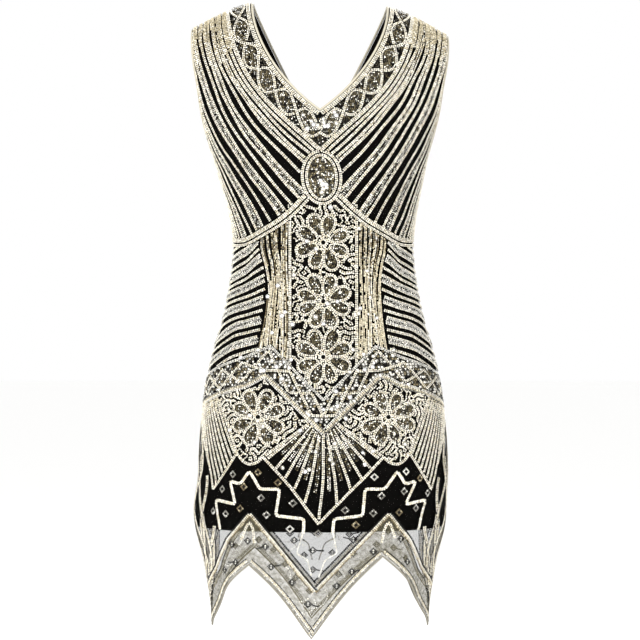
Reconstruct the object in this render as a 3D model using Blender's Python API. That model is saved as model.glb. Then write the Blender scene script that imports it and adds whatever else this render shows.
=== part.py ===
"""Sleeveless beaded flapper dress, filled out as it is worn.

The outer dress is two panels of embroidered net, front and back, cut from the shoulder to a zigzag
hem. Each has a plain black lining inside it that stops at a level hem, higher than the net's. A
binding finishes the neck and each armhole, and a beaded edging runs along the zigzag.

Metres, +Z up. The origin is midway between the shoulder seams, level with their neck ends. The front
faces -Y, and +X is on the right of someone who looks at the front.
"""

import math

import bmesh
import bpy
from mathutils import Vector

# Sizes of the cloth.
NET_THICKNESS = 0.0012
LINING_THICKNESS = 0.0010
AIR_BETWEEN_LAYERS = 0.0005
SEAM_GAP = 0.0004

# The form that fills the dress: heights below the shoulder, half the width seen from the front, and
# the depths in front of and behind the side seams.
FORM_COLUMNS = ("height", "half_width", "front", "back")
FORM = (
    (0.000, 0.1755, 0.0620, 0.0560),
    (-0.045, 0.1805, 0.0700, 0.0690),
    (-0.080, 0.1790, 0.0780, 0.0820),
    (-0.120, 0.1725, 0.0905, 0.0940),
    (-0.165, 0.1655, 0.1040, 0.1020),
    (-0.215, 0.1535, 0.1165, 0.1040),
    (-0.250, 0.1450, 0.1195, 0.1010),
    (-0.300, 0.1330, 0.1115, 0.0905),
    (-0.345, 0.1290, 0.1025, 0.0835),
    (-0.400, 0.1360, 0.0995, 0.0885),
    (-0.460, 0.1490, 0.1040, 0.1010),
    (-0.520, 0.1630, 0.1110, 0.1130),
    (-0.580, 0.1720, 0.1160, 0.1190),
    (-0.650, 0.1770, 0.1190, 0.1190),
    (-0.730, 0.1780, 0.1200, 0.1170),
    (-0.790, 0.1635, 0.1140, 0.1100),
    (-0.850, 0.1515, 0.1070, 0.1020),
    (-0.900, 0.1490, 0.1040, 0.0990),
)
SECTION_POWER = 2.2

# The bust is a low rise on each side of the centre front.
BUST_RISE = 0.006
BUST_OUT = 0.072
BUST_HEIGHT = -0.240
BUST_WIDTH = 0.050
BUST_TALL = 0.060

# Shoulders and armholes.
NECK_POINT_X = 0.0985
SHOULDER_TIP_Z = -0.038
SHOULDER_BOW = 1.2
SHOULDER_ROUND = 0.060
UNDERARM_Z = -0.215
ARMHOLE_SET_IN = 0.090
ARMHOLE_EASE = 0.080

# Hems. The net has a point at the centre of each panel and one at each side seam, and its edge from
# a centre point to a notch is a little hollow. Below the lining it hangs in soft flutes.
LINING_HEM_Z = -0.741
CENTRE_POINT_Z = -0.885
SIDE_POINT_Z = -0.881
HEM_HOLLOW = 0.006
HEM_WAVE = 0.0045
HEM_WAVES = 4
HEM_WAVE_TOP = -0.690

# The way it hangs: the -X shoulder is a little higher, the skirt stands a little to +X, and its
# centre points swing to -X.
SHOULDER_TILT = 0.028
TILT_BELOW = 0.220
SKIRT_LEAN = 0.0045
LEAN_STARTS = (-0.180, -0.330)
LEAN_ENDS = (-0.660, -0.720)
POINT_SWING = 0.012
SWING_TOP = -0.700

# Soft folds at each side of the waist, each a trough from (out, height) to (out, height).
FOLD_COLUMNS = ("top_out", "top_height", "low_out", "low_height", "width", "depth")
FOLDS = {
    "front": (
        (0.104, -0.335, 0.140, -0.470, 0.020, 0.0040),
        (0.128, -0.235, 0.096, -0.300, 0.020, 0.0030),
    ),
    "back": (
        (0.098, -0.350, 0.136, -0.450, 0.020, 0.0045),
        (0.050, -0.330, 0.020, -0.390, 0.022, 0.0035),
    ),
}

# Trims. They lie just off the cut edges, and the cloth's slope there is read a little inside them.
NECK_BINDING_RADIUS = 0.0017
ARMHOLE_BINDING_RADIUS = 0.0017
HEM_EDGING_RADIUS = 0.0013
TRIM_CLEARANCE = 0.00035
TRIM_BEVEL = 2
EDGE_STEP = 0.0005
SLOPE_STEP = 0.002

# The grid of a panel: columns from the centre to each side, and rows from the hem to the shoulder.
COLUMNS = 10
NOTCH_COLUMN = 4
HEM_ROWS = 4
BODY_ROWS = 17
YOKE_ROWS = 10

# For each panel: the side of the form it lies on, the bottom of its neck V, how many yoke rows lie
# below that V, the two handles that bend its neck edge, as (out, height), and the notch of its hem
# on the -X side and on the +X side, as (share of the way across, height).
PANELS = {
    "front": {
        "facing": -1,
        "v_height": -0.161,
        "rows_below_v": 2,
        "shoulder_handle": (0.0985, -0.066),
        "v_handle": (0.046, -0.129),
        "notches": {-1: (0.390, -0.785), 1: (0.362, -0.773)},
    },
    "back": {
        "facing": 1,
        "v_height": -0.190,
        "rows_below_v": 1,
        "shoulder_handle": (0.0760, -0.050),
        "v_handle": (0.032, -0.133),
        "notches": {-1: (0.375, -0.780), 1: (0.390, -0.786)},
    },
}

COLOURS = {
    "net": ((0.30, 0.27, 0.21), 0.45, 0.35),
    "lining": ((0.006, 0.005, 0.005), 0.75, 0.0),
    "binding": ((0.52, 0.49, 0.42), 0.40, 0.30),
    "edging": ((0.62, 0.57, 0.46), 0.35, 0.40),
}


def clear_scene():
    for obj in list(bpy.data.objects):
        bpy.data.objects.remove(obj)


def lerp(a, b, t):
    return a + (b - a) * t


def ease_out(t):
    return 1 - (1 - t) ** 1.5


def smooth(t):
    t = min(1.0, max(0.0, t))
    return t * t * (3 - 2 * t)


def form_slope(column, i):
    """The rise of a column of FORM at row i, from the rows on each side of it."""
    low = FORM[max(0, i - 1)]
    high = FORM[min(len(FORM) - 1, i + 1)]
    return (high[column] - low[column]) / (high[0] - low[0])


def form_at(name, z):
    """One column of FORM at height z, on a smooth curve through the table's rows."""
    column = FORM_COLUMNS.index(name)
    z = min(FORM[0][0], max(FORM[-1][0], z))
    i = 0
    while i < len(FORM) - 2 and z < FORM[i + 1][0]:
        i += 1
    top, bottom = FORM[i], FORM[i + 1]
    span = bottom[0] - top[0]
    t = (z - top[0]) / span
    return (
        (2 * t**3 - 3 * t**2 + 1) * top[column]
        + (t**3 - 2 * t**2 + t) * span * form_slope(column, i)
        + (3 * t**2 - 2 * t**3) * bottom[column]
        + (t**3 - t**2) * span * form_slope(column, i + 1)
    )


def shoulder_height(x):
    """The height of the shoulder seam's line, which bows down from the neck out to the tip."""
    tip_x = form_at("half_width", SHOULDER_TIP_Z)
    share = (abs(x) - NECK_POINT_X) / (tip_x - NECK_POINT_X)
    return SHOULDER_TIP_Z * max(0.0, share) ** SHOULDER_BOW


def form_reach(z):
    """Half the form's own width: the panels' edge, and more where an armhole is set in from it."""
    above = min(1.0, max(0.0, (z - UNDERARM_Z) / ARMHOLE_EASE))
    return form_at("half_width", z) * (1 + ARMHOLE_SET_IN * (1 - (1 - above) ** 2))


def form_depth(panel, x, z):
    """How far the cloth stands from the plane of the side seams at (x, z)."""
    share = min(1.0, abs(x) / form_reach(z))
    across = (1 - share**SECTION_POWER) ** (1 / SECTION_POWER)
    below = min(1.0, max(0.0, (shoulder_height(x) - z) / SHOULDER_ROUND))
    over = math.sqrt(1 - (1 - below) ** 2)
    depth = form_at(panel, z)
    if panel == "front":
        out = (abs(x) - BUST_OUT) / BUST_WIDTH
        up = (z - BUST_HEIGHT) / BUST_TALL
        depth += BUST_RISE * math.exp(-out * out - up * up)
    return depth * across * over


def neck_edge(panel, t):
    """(x, z) on the neck edge, from the bottom of the V at t 0 to the shoulder at t 1."""
    cut = PANELS[panel]
    points = ((0.0, cut["v_height"]), cut["v_handle"], cut["shoulder_handle"], (NECK_POINT_X, 0.0))
    weights = ((1 - t) ** 3, 3 * t * (1 - t) ** 2, 3 * t * t * (1 - t), t**3)
    x = sum(w * p[0] for w, p in zip(weights, points))
    z = sum(w * p[1] for w, p in zip(weights, points))
    return x, z


def zigzag_point(panel, side, column):
    """(across, height) on the net's hem, from the centre point up to a notch and down to the side."""
    notch, notch_z = PANELS[panel]["notches"][side]
    if column <= NOTCH_COLUMN:
        t = column / NOTCH_COLUMN
        return notch * t, lerp(CENTRE_POINT_Z, notch_z, t) + HEM_HOLLOW * math.sin(t * math.pi)
    t = (column - NOTCH_COLUMN) / (COLUMNS - NOTCH_COLUMN)
    return lerp(notch, 1.0, t), lerp(notch_z, SIDE_POINT_Z, t)


def skirt_point(across, z):
    return form_at("half_width", z) * math.sin(across * math.pi / 2), z


def yoke_point(panel, across, t):
    """(x, z) above the underarm, where each row runs from the neck edge out to the armhole."""
    below_v = PANELS[panel]["rows_below_v"] / YOKE_ROWS
    if t <= below_v:
        inner = (0.0, lerp(UNDERARM_Z, PANELS[panel]["v_height"], t / below_v))
    else:
        inner = neck_edge(panel, ease_out((t - below_v) / (1 - below_v)))
    z = lerp(UNDERARM_Z, SHOULDER_TIP_Z, smooth(t))
    outer = (form_at("half_width", z), z)
    share = lerp(math.sin(across * math.pi / 2), across, smooth(2 * t))
    bowed = share ** lerp(1.0, SHOULDER_BOW, t)
    return lerp(inner[0], outer[0], share), lerp(inner[1], outer[1], bowed)


def cut_point(panel, side, column, row, hem_rows):
    """(x, z) of a grid point of a panel, counted from the centre of its hem, with x as if at +X."""
    across = column / COLUMNS
    if row < hem_rows:
        hem_across, hem_z = zigzag_point(panel, side, column)
        t = row / hem_rows
        return skirt_point(lerp(hem_across, across, t), lerp(hem_z, LINING_HEM_Z, t))
    row -= hem_rows
    if row <= BODY_ROWS:
        return skirt_point(across, lerp(LINING_HEM_Z, UNDERARM_Z, row / BODY_ROWS))
    row -= BODY_ROWS
    return yoke_point(panel, across, row / YOKE_ROWS)


def hem_wave(x, z):
    """The soft flutes of the hanging net, as a step out from the form."""
    share = min(1.0, abs(x) / form_reach(z))
    turn = math.asin(share) * 2 / math.pi
    fade = smooth((HEM_WAVE_TOP - z) / (HEM_WAVE_TOP - CENTRE_POINT_Z))
    return HEM_WAVE * fade * math.cos(HEM_WAVES * math.pi * turn)


def fold_depth(panel, x, z):
    """How far the folds take the cloth in at (x, z)."""
    total = 0.0
    for row in FOLDS[panel]:
        fold = dict(zip(FOLD_COLUMNS, row))
        top = Vector((fold["top_out"], fold["top_height"]))
        run = Vector((fold["low_out"], fold["low_height"])) - top
        along = (Vector((abs(x), z)) - top).dot(run) / run.length_squared
        nearest = top + run * min(1.0, max(0.0, along))
        aside = (Vector((abs(x), z)) - nearest).length / fold["width"]
        total += fold["depth"] * math.exp(-aside * aside)
    return total


def on_form(panel, x, z):
    """The point in space of (x, z) on a panel, before the dress settles to one side."""
    facing = PANELS[panel]["facing"]
    depth = form_depth(panel, x, z)
    out = Vector((x / form_reach(z) ** 2, facing * depth / form_at(panel, z) ** 2, 0))
    step = hem_wave(x, z) - fold_depth(panel, x, z)
    point = Vector((x, facing * depth, z)) + out.normalized() * step
    point.y = facing * (abs(point.y) + SEAM_GAP / 2)
    return point


def settle(point):
    """Moves a finished point as the dress hangs on its wearer."""
    point.z -= SHOULDER_TILT * point.x * smooth((point.z + TILT_BELOW) / TILT_BELOW)
    lean = smooth((LEAN_STARTS[0] - point.z) / (LEAN_STARTS[0] - LEAN_STARTS[1]))
    lean -= smooth((LEAN_ENDS[0] - point.z) / (LEAN_ENDS[0] - LEAN_ENDS[1]))
    share = min(1.0, abs(point.x) / form_at("half_width", point.z))
    swing = max(0.0, (SWING_TOP - point.z) / (SWING_TOP - CENTRE_POINT_Z)) * (1 - share**2)
    point.x += SKIRT_LEAN * lean - POINT_SWING * swing


def lay_half(grid, panel, side, hem_rows):
    """Adds the half of a panel on one side of the centre, as a grid laid on the form."""
    rows = hem_rows + BODY_ROWS + YOKE_ROWS
    made = bmesh.ops.create_grid(grid, x_segments=COLUMNS, y_segments=rows, size=0.5)
    for point in made["verts"]:
        column = round((point.co.x + 0.5) * COLUMNS)
        row = round((point.co.y + 0.5) * rows)
        x, z = cut_point(panel, side, column, row, hem_rows)
        point.co = on_form(panel, side * x, z)


def hold_at_seam(grid, facing):
    """Keeps a panel on its own side of the seams, and its faces there flat."""
    for point in grid.verts:
        if facing * point.co.y < SEAM_GAP / 2:
            point.co.y = facing * SEAM_GAP / 2


def face_out(grid):
    """Turns the faces of an open panel away from the body."""
    bmesh.ops.recalc_face_normals(grid, faces=grid.faces)
    chest = min(grid.faces, key=lambda face: abs(face.calc_center_median().z - UNDERARM_Z))
    if chest.normal.dot(Vector((*chest.calc_center_median().xy, 0))) < 0:
        bmesh.ops.reverse_faces(grid, faces=grid.faces)


def panel_grid(panel, hem_rows, inset):
    """A whole panel as an open surface, inset from the form along its normals."""
    grid = bmesh.new()
    for side in (-1, 1):
        lay_half(grid, panel, side, hem_rows)
    bmesh.ops.remove_doubles(grid, verts=grid.verts, dist=1e-5)
    face_out(grid)
    bmesh.ops.triangulate(grid, faces=grid.faces)
    grid.normal_update()
    moves = [(point, point.normal.copy()) for point in grid.verts]
    for point, normal in moves:
        point.co -= normal * inset
    hold_at_seam(grid, PANELS[panel]["facing"])
    return grid


def add_material(obj, name):
    colour, roughness, metallic = COLOURS[name]
    material = bpy.data.materials.get(name) or bpy.data.materials.new(name)
    material.use_nodes = True
    shader = material.node_tree.nodes["Principled BSDF"]
    shader.inputs["Base Color"].default_value = (*colour, 1)
    shader.inputs["Roughness"].default_value = roughness
    shader.inputs["Metallic"].default_value = metallic
    obj.data.materials.append(material)


def add_cloth(collection, name, panel, hem_rows, inset, thickness, material):
    """A panel of cloth as a closed wall, its outer face inset from the form."""
    grid = panel_grid(panel, hem_rows, inset)
    bmesh.ops.solidify(grid, geom=grid.faces[:], thickness=thickness)
    hold_at_seam(grid, PANELS[panel]["facing"])
    for point in grid.verts:
        settle(point.co)
    bmesh.ops.recalc_face_normals(grid, faces=grid.faces)
    mesh = bpy.data.meshes.new(name)
    grid.to_mesh(mesh)
    grid.free()
    obj = bpy.data.objects.new(name, mesh)
    collection.objects.link(obj)
    add_material(obj, material)
    mesh.shade_smooth()
    mesh.set_sharp_from_angle(angle=math.radians(50))
    return obj


def form_normal(panel, x, z):
    """The way out of the cloth at (x, z)."""
    here = on_form(panel, x, z)
    beside = on_form(panel, x - math.copysign(SLOPE_STEP, x), z)
    below = on_form(panel, x, z - SLOPE_STEP)
    normal = (beside - here).cross(below - here).normalized()
    centre = Vector((0, 0, z - SHOULDER_ROUND))
    return normal if normal.dot(here - centre) > 0 else -normal


def edge_samples(panel, side, edge):
    """(point, normal) along an edge of half a panel: up the neck, up the armhole, or out on the hem."""
    if edge == "hem":
        spots = [skirt_point(*zigzag_point(panel, side, i)) for i in range(COLUMNS + 1)]
        near = (-EDGE_STEP, EDGE_STEP)
    elif edge == "neck":
        first = PANELS[panel]["rows_below_v"]
        spots = [yoke_point(panel, 0, i / YOKE_ROWS) for i in range(first, YOKE_ROWS + 1)]
        near = (EDGE_STEP, -EDGE_STEP)
    else:
        spots = [yoke_point(panel, 1, i / YOKE_ROWS) for i in range(YOKE_ROWS + 1)]
        near = (-EDGE_STEP, -EDGE_STEP)
    samples = []
    for x, z in spots:
        normal = form_normal(panel, side * max(0.0, x + near[0]), z + near[1])
        samples.append([on_form(panel, side * x, z), normal])
    return samples


def closed_loop(stretches):
    """Joins stretches of samples end to end, with one sample wherever two of them meet."""
    loop = []
    for stretch in stretches:
        for point, normal in stretch:
            if loop and (loop[-1][0] - point).length < 3 * SEAM_GAP:
                middle = (loop[-1][0] + point) / 2
                loop[-1] = [middle, (loop[-1][1] + normal).normalized()]
            else:
                loop.append([point, normal])
    if (loop[0][0] - loop[-1][0]).length < 3 * SEAM_GAP:
        point, normal = loop.pop()
        loop[0] = [(loop[0][0] + point) / 2, (loop[0][1] + normal).normalized()]
    return loop


def beside_edge(loop, away, inset):
    """Moves a loop off the cloth's edge by away, mitred at corners, and in from its face by inset."""
    moved = []
    for i, (point, normal) in enumerate(loop):
        before = (point - loop[i - 1][0]).normalized()
        after = (loop[(i + 1) % len(loop)][0] - point).normalized()
        sides = [before.cross(normal).normalized(), after.cross(normal).normalized()]
        way = (sides[0] + sides[1]).normalized()
        reach = away / max(0.5, way.dot(sides[0]))
        moved.append(point + way * reach - normal * inset)
    return moved


def add_trim(collection, name, loop, radius, inset, material):
    """A round trim along a closed loop of edge samples."""
    curve = bpy.data.curves.new(name, "CURVE")
    curve.dimensions = "3D"
    curve.bevel_depth = radius
    curve.bevel_resolution = TRIM_BEVEL
    curve.use_fill_caps = True
    points = beside_edge(loop, radius + TRIM_CLEARANCE, inset)
    for point in points:
        settle(point)
    spline = curve.splines.new("POLY")
    spline.points.add(len(points) - 1)
    for target, point in zip(spline.points, points):
        target.co = (*point, 1)
    spline.use_cyclic_u = True
    obj = bpy.data.objects.new(name, curve)
    collection.objects.link(obj)
    add_material(obj, material)
    return obj


def neck_loop():
    edges = {(panel, side): edge_samples(panel, side, "neck") for panel in PANELS for side in (-1, 1)}
    return closed_loop(
        [edges["front", 1][::-1], edges["front", -1], edges["back", -1][::-1], edges["back", 1]]
    )


def armhole_loop(side):
    up, down = ("front", "back") if side > 0 else ("back", "front")
    return closed_loop([edge_samples(up, side, "armhole"), edge_samples(down, side, "armhole")[::-1]])


def hem_loop():
    edges = {(panel, side): edge_samples(panel, side, "hem") for panel in PANELS for side in (-1, 1)}
    return closed_loop(
        [edges["front", -1][::-1], edges["front", 1], edges["back", 1][::-1], edges["back", -1]]
    )


def build():
    clear_scene()
    dress = bpy.data.collections.new("flapper_dress")
    bpy.context.scene.collection.children.link(dress)
    lining_inset = NET_THICKNESS + AIR_BETWEEN_LAYERS
    for panel in PANELS:
        add_cloth(dress, f"{panel}_panel", panel, HEM_ROWS, 0.0, NET_THICKNESS, "net")
        add_cloth(dress, f"{panel}_lining", panel, 0, lining_inset, LINING_THICKNESS, "lining")
    layers_middle = (lining_inset + LINING_THICKNESS) / 2
    add_trim(dress, "neck_binding", neck_loop(), NECK_BINDING_RADIUS, layers_middle, "binding")
    for name, side in (("left", -1), ("right", 1)):
        loop = armhole_loop(side)
        add_trim(dress, f"armhole_binding_{name}", loop, ARMHOLE_BINDING_RADIUS, layers_middle, "binding")
    add_trim(dress, "hem_edging", hem_loop(), HEM_EDGING_RADIUS, NET_THICKNESS / 2, "edging")


build()
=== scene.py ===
import math

import bmesh
import bpy
import numpy as np
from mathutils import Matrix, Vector


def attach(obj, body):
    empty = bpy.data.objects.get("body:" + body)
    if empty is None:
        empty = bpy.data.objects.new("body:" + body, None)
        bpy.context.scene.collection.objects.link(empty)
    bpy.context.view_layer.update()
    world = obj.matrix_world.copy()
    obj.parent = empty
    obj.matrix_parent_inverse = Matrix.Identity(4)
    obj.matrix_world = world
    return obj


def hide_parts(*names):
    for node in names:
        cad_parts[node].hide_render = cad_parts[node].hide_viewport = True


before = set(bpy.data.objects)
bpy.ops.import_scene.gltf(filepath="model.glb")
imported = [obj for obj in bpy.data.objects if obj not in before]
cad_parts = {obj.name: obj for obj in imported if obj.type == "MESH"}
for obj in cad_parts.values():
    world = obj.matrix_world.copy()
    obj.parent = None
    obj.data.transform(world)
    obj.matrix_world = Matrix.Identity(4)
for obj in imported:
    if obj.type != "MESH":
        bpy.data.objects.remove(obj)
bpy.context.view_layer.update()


# ---- Net panels -------------------------------------------------------------------------------
# The outer dress is a front and a back of fine black cotton net, cut from the shoulder to a zigzag
# hem and sewn together at the shoulders and sides. All the beadwork is sewn on it while it is flat.
# Below the lining it is see-through, and it is tinted beige under the chevron line near the hem.

NET_THICKNESS = 0.0012
NET_WALL = 0.0004
SEAM_GAP = 0.0004
NET_BLACK = "#060504"
NET_BEIGE = "#5F5A48"
NET_CELL = 1.3  # mm, from hole to hole
MM = 0.001  # metres in a millimetre

# The form that fills the dress.
FORM_COLUMNS = ("height", "half_width", "front", "back")
FORM = (
    (0.000, 0.1755, 0.0620, 0.0560),
    (-0.045, 0.1805, 0.0700, 0.0690),
    (-0.080, 0.1790, 0.0780, 0.0820),
    (-0.120, 0.1725, 0.0905, 0.0940),
    (-0.165, 0.1655, 0.1040, 0.1020),
    (-0.215, 0.1535, 0.1165, 0.1040),
    (-0.250, 0.1450, 0.1195, 0.1010),
    (-0.300, 0.1330, 0.1115, 0.0905),
    (-0.345, 0.1290, 0.1025, 0.0835),
    (-0.400, 0.1360, 0.0995, 0.0885),
    (-0.460, 0.1490, 0.1040, 0.1010),
    (-0.520, 0.1630, 0.1110, 0.1130),
    (-0.580, 0.1720, 0.1160, 0.1190),
    (-0.650, 0.1770, 0.1190, 0.1190),
    (-0.730, 0.1780, 0.1200, 0.1170),
    (-0.790, 0.1635, 0.1140, 0.1100),
    (-0.850, 0.1515, 0.1070, 0.1020),
    (-0.900, 0.1490, 0.1040, 0.0990),
)
SECTION_POWER = 2.2  # 2 would make its cross-section an ellipse, and more is squarer
BUST_RISE, BUST_OUT, BUST_HEIGHT, BUST_WIDTH, BUST_TALL = 0.006, 0.072, -0.240, 0.050, 0.060
NECK_POINT_X = 0.0985
SHOULDER_TIP_Z = -0.038
SHOULDER_BOW = 1.2  # power of the curve that the shoulder seam drops along
SHOULDER_ROUND = 0.060
UNDERARM_Z = -0.215
ARMHOLE_SET_IN = 0.090  # share of its width that the form stands past the armhole
ARMHOLE_EASE = 0.080
NECK_SPREAD = 1.5  # power that spaces the cloth's rows along the neck edge
LINING_HEM_Z = -0.741
CENTRE_POINT_Z = -0.885
SIDE_POINT_Z = -0.881
HEM_HOLLOW = 0.006
HEM_WAVE, HEM_WAVES, HEM_WAVE_TOP = 0.0045, 4, -0.690
SHOULDER_TILT, TILT_BELOW = 0.028, 0.220
SKIRT_LEAN, LEAN_STARTS, LEAN_ENDS = 0.0045, (-0.180, -0.330), (-0.660, -0.720)
POINT_SWING, SWING_TOP = 0.012, -0.700
# Creases that take the cloth in: each one's upper end, its lower end, its width and its depth.
FOLDS = {
    "front": (
        (0.104, -0.335, 0.140, -0.470, 0.020, 0.0040),
        (0.128, -0.235, 0.096, -0.300, 0.020, 0.0030),
    ),
    "back": (
        (0.098, -0.350, 0.136, -0.450, 0.020, 0.0045),
        (0.050, -0.330, 0.020, -0.390, 0.022, 0.0035),
    ),
}
PANELS = {
    "front": {
        "facing": -1,
        "v_height": -0.161,
        "below_v": 0.2,
        "shoulder_handle": (0.0985, -0.066),
        "v_handle": (0.046, -0.129),
        "notches": {-1: (0.390, -0.785), 1: (0.362, -0.773)},
    },
    "back": {
        "facing": 1,
        "v_height": -0.190,
        "below_v": 0.1,
        "shoulder_handle": (0.0760, -0.050),
        "v_handle": (0.032, -0.133),
        "notches": {-1: (0.375, -0.780), 1: (0.390, -0.786)},
    },
}
SIDES = (-1, 1)


def lerp(a, b, t):
    return a + (b - a) * t


def smooth(t):
    t = np.clip(t, 0.0, 1.0)
    return t * t * (3 - 2 * t)


def form_at(name, z):
    """One column of FORM at height z, on a smooth curve through the table's rows."""
    table = np.array(FORM)
    heights, values = table[:, 0], table[:, FORM_COLUMNS.index(name)]
    rise = np.append(values[:1], values[:-1]) - np.append(values[1:], values[-1:])
    slopes = rise / (np.append(heights[:1], heights[:-1]) - np.append(heights[1:], heights[-1:]))
    z = np.clip(z, heights[-1], heights[0])
    i = np.clip(np.searchsorted(-heights, -z, side="right") - 1, 0, len(FORM) - 2)
    span = heights[i + 1] - heights[i]
    t = (z - heights[i]) / span
    return (
        (2 * t**3 - 3 * t**2 + 1) * values[i]
        + (t**3 - 2 * t**2 + t) * span * slopes[i]
        + (3 * t**2 - 2 * t**3) * values[i + 1]
        + (t**3 - t**2) * span * slopes[i + 1]
    )


def shoulder_height(x):
    """The height of the shoulder seam's line, which bows down from the neck out to the tip."""
    share = (np.abs(x) - NECK_POINT_X) / (form_at("half_width", SHOULDER_TIP_Z) - NECK_POINT_X)
    return SHOULDER_TIP_Z * np.maximum(0.0, share) ** SHOULDER_BOW


def form_reach(z):
    """Half the form's own width, which is more than the panels' where an armhole is set in."""
    above = np.clip((z - UNDERARM_Z) / ARMHOLE_EASE, 0.0, 1.0)
    return form_at("half_width", z) * (1 + ARMHOLE_SET_IN * (1 - (1 - above) ** 2))


def turn_at(x, z):
    """The share of the way round from the centre line to the side seam, 0 to 1."""
    return np.arcsin(np.clip(np.abs(x) / form_reach(z), 0.0, 1.0)) * 2 / math.pi


def form_depth(panel, x, z):
    """How far the cloth stands from the plane of the side seams at (x, z)."""
    share = np.minimum(1.0, np.abs(x) / form_reach(z))
    across = (1 - share**SECTION_POWER) ** (1 / SECTION_POWER)
    below = np.clip((shoulder_height(x) - z) / SHOULDER_ROUND, 0.0, 1.0)
    depth = form_at(panel, z)
    if panel == "front":
        out, up = (np.abs(x) - BUST_OUT) / BUST_WIDTH, (z - BUST_HEIGHT) / BUST_TALL
        depth = depth + BUST_RISE * np.exp(-out * out - up * up)
    return depth * across * np.sqrt(1 - (1 - below) ** 2)


def fold_depth(panel, x, z):
    """How far the creases take the cloth in at (x, z)."""
    total = 0.0
    for top_x, top_z, low_x, low_z, width, depth in FOLDS[panel]:
        run_x, run_z = low_x - top_x, low_z - top_z
        along = ((np.abs(x) - top_x) * run_x + (z - top_z) * run_z) / (run_x**2 + run_z**2)
        along = np.clip(along, 0.0, 1.0)
        aside = np.hypot(np.abs(x) - top_x - run_x * along, z - top_z - run_z * along) / width
        total = total + depth * np.exp(-aside * aside)
    return total


def on_form(panel, x, z):
    """The points in space of (x, z) on a panel, before the dress settles to one side."""
    facing = PANELS[panel]["facing"]
    depth = form_depth(panel, x, z)
    flutes = HEM_WAVE * smooth((HEM_WAVE_TOP - z) / (HEM_WAVE_TOP - CENTRE_POINT_Z))
    step = flutes * np.cos(HEM_WAVES * math.pi * turn_at(x, z)) - fold_depth(panel, x, z)
    out_x, out_y = x / form_reach(z) ** 2, facing * depth / form_at(panel, z) ** 2
    length = np.maximum(1e-9, np.hypot(out_x, out_y))
    y = facing * depth + out_y / length * step
    return np.stack([x + out_x / length * step, facing * (np.abs(y) + SEAM_GAP / 2), z], -1)


def settle(points):
    """Finished points moved as the dress hangs: a raised shoulder, a leaning skirt, swung points."""
    x, y, z = np.moveaxis(points, -1, 0)
    z = z - SHOULDER_TILT * x * smooth((z + TILT_BELOW) / TILT_BELOW)
    lean = smooth((LEAN_STARTS[0] - z) / (LEAN_STARTS[0] - LEAN_STARTS[1]))
    lean = lean - smooth((LEAN_ENDS[0] - z) / (LEAN_ENDS[0] - LEAN_ENDS[1]))
    share = np.minimum(1.0, np.abs(x) / form_at("half_width", z))
    swing = np.maximum(0.0, (SWING_TOP - z) / (SWING_TOP - CENTRE_POINT_Z)) * (1 - share**2)
    return np.stack([x + SKIRT_LEAN * lean - POINT_SWING * swing, y, z], -1)


def neck_edge(panel, t):
    """(x, z) on the neck edge, from the bottom of the V at t 0 to the shoulder at t 1."""
    cut = PANELS[panel]
    corners = ((0.0, cut["v_height"]), cut["v_handle"], cut["shoulder_handle"], (NECK_POINT_X, 0.0))
    weights = ((1 - t) ** 3, 3 * t * (1 - t) ** 2, 3 * t * t * (1 - t), t**3)
    return [sum(w * corner[i] for w, corner in zip(weights, corners)) for i in (0, 1)]


def zigzag_edge(panel, side, column):
    """(share round, height) of the hem, for a column from the centre point, 0, to the side, 1."""
    notch, notch_z = PANELS[panel]["notches"][side]
    inner, outer = column / NOTCH_COLUMN, (column - NOTCH_COLUMN) / (1 - NOTCH_COLUMN)
    hollow = HEM_HOLLOW * np.sin(np.clip(inner, 0, 1) * math.pi)
    inner_z = lerp(CENTRE_POINT_Z, notch_z, inner) + hollow
    beyond = column > NOTCH_COLUMN
    share = np.where(beyond, lerp(notch, 1.0, outer), notch * inner)
    return share, np.where(beyond, lerp(notch_z, SIDE_POINT_Z, outer), inner_z)


def skirt_x(share, z):
    return form_at("half_width", z) * np.sin(share * math.pi / 2)


def cut_point(panel, side, column, row, hem):
    """(x, z) of a grid point of half a panel, row -1 (hem) to 0 (lining hem), 1 (underarm), 2 (top)."""
    hem_share, hem_z = zigzag_edge(panel, side, column) if hem else (column, LINING_HEM_Z)
    t = np.clip(row + 1, 0, 1)
    share, z = lerp(hem_share, column, t), lerp(hem_z, LINING_HEM_Z, t)
    z = np.where(row > 0, lerp(LINING_HEM_Z, UNDERARM_Z, np.clip(row, 0, 1)), z)
    x = skirt_x(share, z)
    t = np.clip(row - 1, 0, 1)
    below_v = PANELS[panel]["below_v"]
    up_neck = np.clip((t - below_v) / (1 - below_v), 0, 1)
    inner_x, inner_z = neck_edge(panel, 1 - (1 - up_neck) ** NECK_SPREAD)
    low_z = lerp(UNDERARM_Z, PANELS[panel]["v_height"], t / below_v)
    inner_z = np.where(t > below_v, inner_z, low_z)
    outer_z = lerp(UNDERARM_Z, SHOULDER_TIP_Z, smooth(t))
    outer_x = form_at("half_width", outer_z)
    share = lerp(np.sin(column * math.pi / 2), column, smooth(2 * t))
    yoke_x = lerp(inner_x, outer_x, share)
    yoke_z = lerp(inner_z, outer_z, share ** lerp(1.0, SHOULDER_BOW, t))
    return np.where(row > 1, yoke_x, x), np.where(row > 1, yoke_z, z)


NOTCH_COLUMN = 0.4  # share of half a panel's columns that lie inside the hem's notch
SHELL_COLUMNS = 20
SHELL_ROWS = {"hem": 10, "body": 34, "yoke": 20}
SHARP_FROM = 50  # degrees between two faces that meet in an edge, not in a curve


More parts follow.
